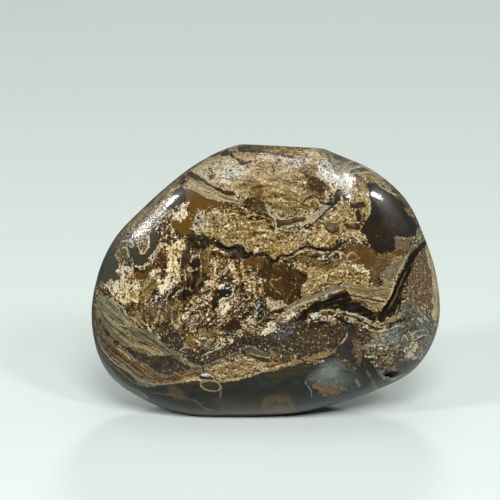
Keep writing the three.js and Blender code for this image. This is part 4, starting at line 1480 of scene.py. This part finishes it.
VEIN_FRAY = 0.4
VEIN_SWELLING = 0.35
VEIN_FADE = (-0.25, 0.4)  # a vein fades in over this much of its edge
VEIN_GAPS = (-2.2, 0.2)  # and is broken by the darkest grains
VEIN_GRAIN = (0.7, 0.15)  # how far a vein hides the ground's grain, and its own
VEIN_MOTTLE = 0.1
vein_palette = palette("vein_colours", [tone(*each) for each in vein_colours])
for over in stored_layers("vein", vein_layers):
    line, half, across = split(over)
    away = reckon("ABSOLUTE", reckon("MULTIPLY_ADD", straying, VEIN_FRAY, across))
    swollen = reckon("MULTIPLY_ADD", clumps, VEIN_SWELLING, half)
    share = ramp(reckon("SUBTRACT", swollen, away), *VEIN_FADE)
    share = reckon("MULTIPLY", share, ramp(fine, *VEIN_GAPS))
    colour = blend(share, colour, looked_up(vein_palette, line))
    grain = blend(reckon("MULTIPLY", share, VEIN_GRAIN[0]), grain, VEIN_GRAIN[1], "FLOAT")
    mottle = blend(share, mottle, VEIN_MOTTLE, "FLOAT")
    lamina = blend(share, lamina, 0.0, "FLOAT")

GRAIN_GAIN = 0.85
CLUMP_GAIN = 0.45
LIGHT_FROM = (0.25, 1.5)  # where grains begin to lighten the ground, and where they do so in full
LIGHT_SHARE = 0.6
WHITE_FROM = (1.2, 2.2)
DARK_FROM = (0.1, -1.4)
light = reckon("MULTIPLY", fine, reckon("MULTIPLY", grain, GRAIN_GAIN))
mottled = reckon("ADD", streaks, reckon("MULTIPLY", clumps, CLUMP_GAIN))
light = reckon("MULTIPLY_ADD", mottled, mottle, light)
light = reckon("MULTIPLY_ADD", thin_layers, lamina, light)
lightened = reckon("MULTIPLY", ramp(light, *LIGHT_FROM), LIGHT_SHARE)
colour = blend(lightened, colour, (*LIGHT_GRAIN, 1.0), way="ADD")
colour = blend(ramp(light, *WHITE_FROM), colour, (*WHITE_GRAIN, 1.0))
colour = blend(ramp(light, *DARK_FROM), colour, (*DARKENED, 1.0), way="MULTIPLY")

THREAD_LEVEL = 0.5  # a pale thread runs where the streaks pass this level
THREAD_WIDTH = (0.16, 0.03)
THREAD_GROUNDS = (0.3, 0.7)  # only on mottled ground, and only in some clouds
THREAD_CLOUDS = (-0.2, 0.6)
beside = reckon("ABSOLUTE", reckon("SUBTRACT", streaks, THREAD_LEVEL))
thread = reckon("MULTIPLY", ramp(beside, *THREAD_WIDTH), ramp(mottle, *THREAD_GROUNDS))
thread = reckon("MULTIPLY", thread, ramp(clouds, *THREAD_CLOUDS))
colour = blend(thread, colour, (*PALE_SEAM, 1.0))

FLAKES_LEFT_OUT = 0.80
FLAKE_SIZE = (0.42, 0.2)
FLAKE_GROUNDS = (0.2, 0.9)
FLAKE_STREAKS = (-0.6, 0.6)
flakes = node("ShaderNodeTexVoronoi")
feed(flakes.inputs["Vector"], coordinates)
flakes.inputs["Scale"].default_value = FLAKES_PER_METRE
chance = split(flakes.outputs["Color"], "ShaderNodeSeparateColor")[0]
present = reckon("GREATER_THAN", chance, FLAKES_LEFT_OUT)
flake = reckon("MULTIPLY", ramp(flakes.outputs["Distance"], *FLAKE_SIZE), present)
where_sugary = reckon("MULTIPLY", ramp(grain, *FLAKE_GROUNDS), ramp(streaks, *FLAKE_STREAKS))
flake = reckon("MULTIPLY", flake, where_sugary)
colour = blend(flake, colour, (*WHITE_GRAIN, 1.0))

POLISH = 0.06  # the coat's roughness on smooth ground, and how much rougher it is on sugar
POLISH_ON_SUGAR = 0.08
feed(gloss.inputs["Base Color"], colour)
gloss.inputs["Specular IOR Level"].default_value = 0.12
gloss.inputs["Roughness"].default_value = 0.38
gloss.inputs["Coat Weight"].default_value = 0.5
sugar = reckon("MINIMUM", grain, 1.0)
feed(gloss.inputs["Coat Roughness"], reckon("MULTIPLY_ADD", sugar, POLISH_ON_SUGAR, POLISH))
pits = node("ShaderNodeBump")
pits.inputs["Distance"].default_value = PIT_DEPTH * MM
feed(pits.inputs["Strength"], sugar)
feed(pits.inputs["Height"], fine)
feed(gloss.inputs["Normal"], pits.outputs[0])
feed(gloss.inputs["Coat Normal"], pits.outputs[0])
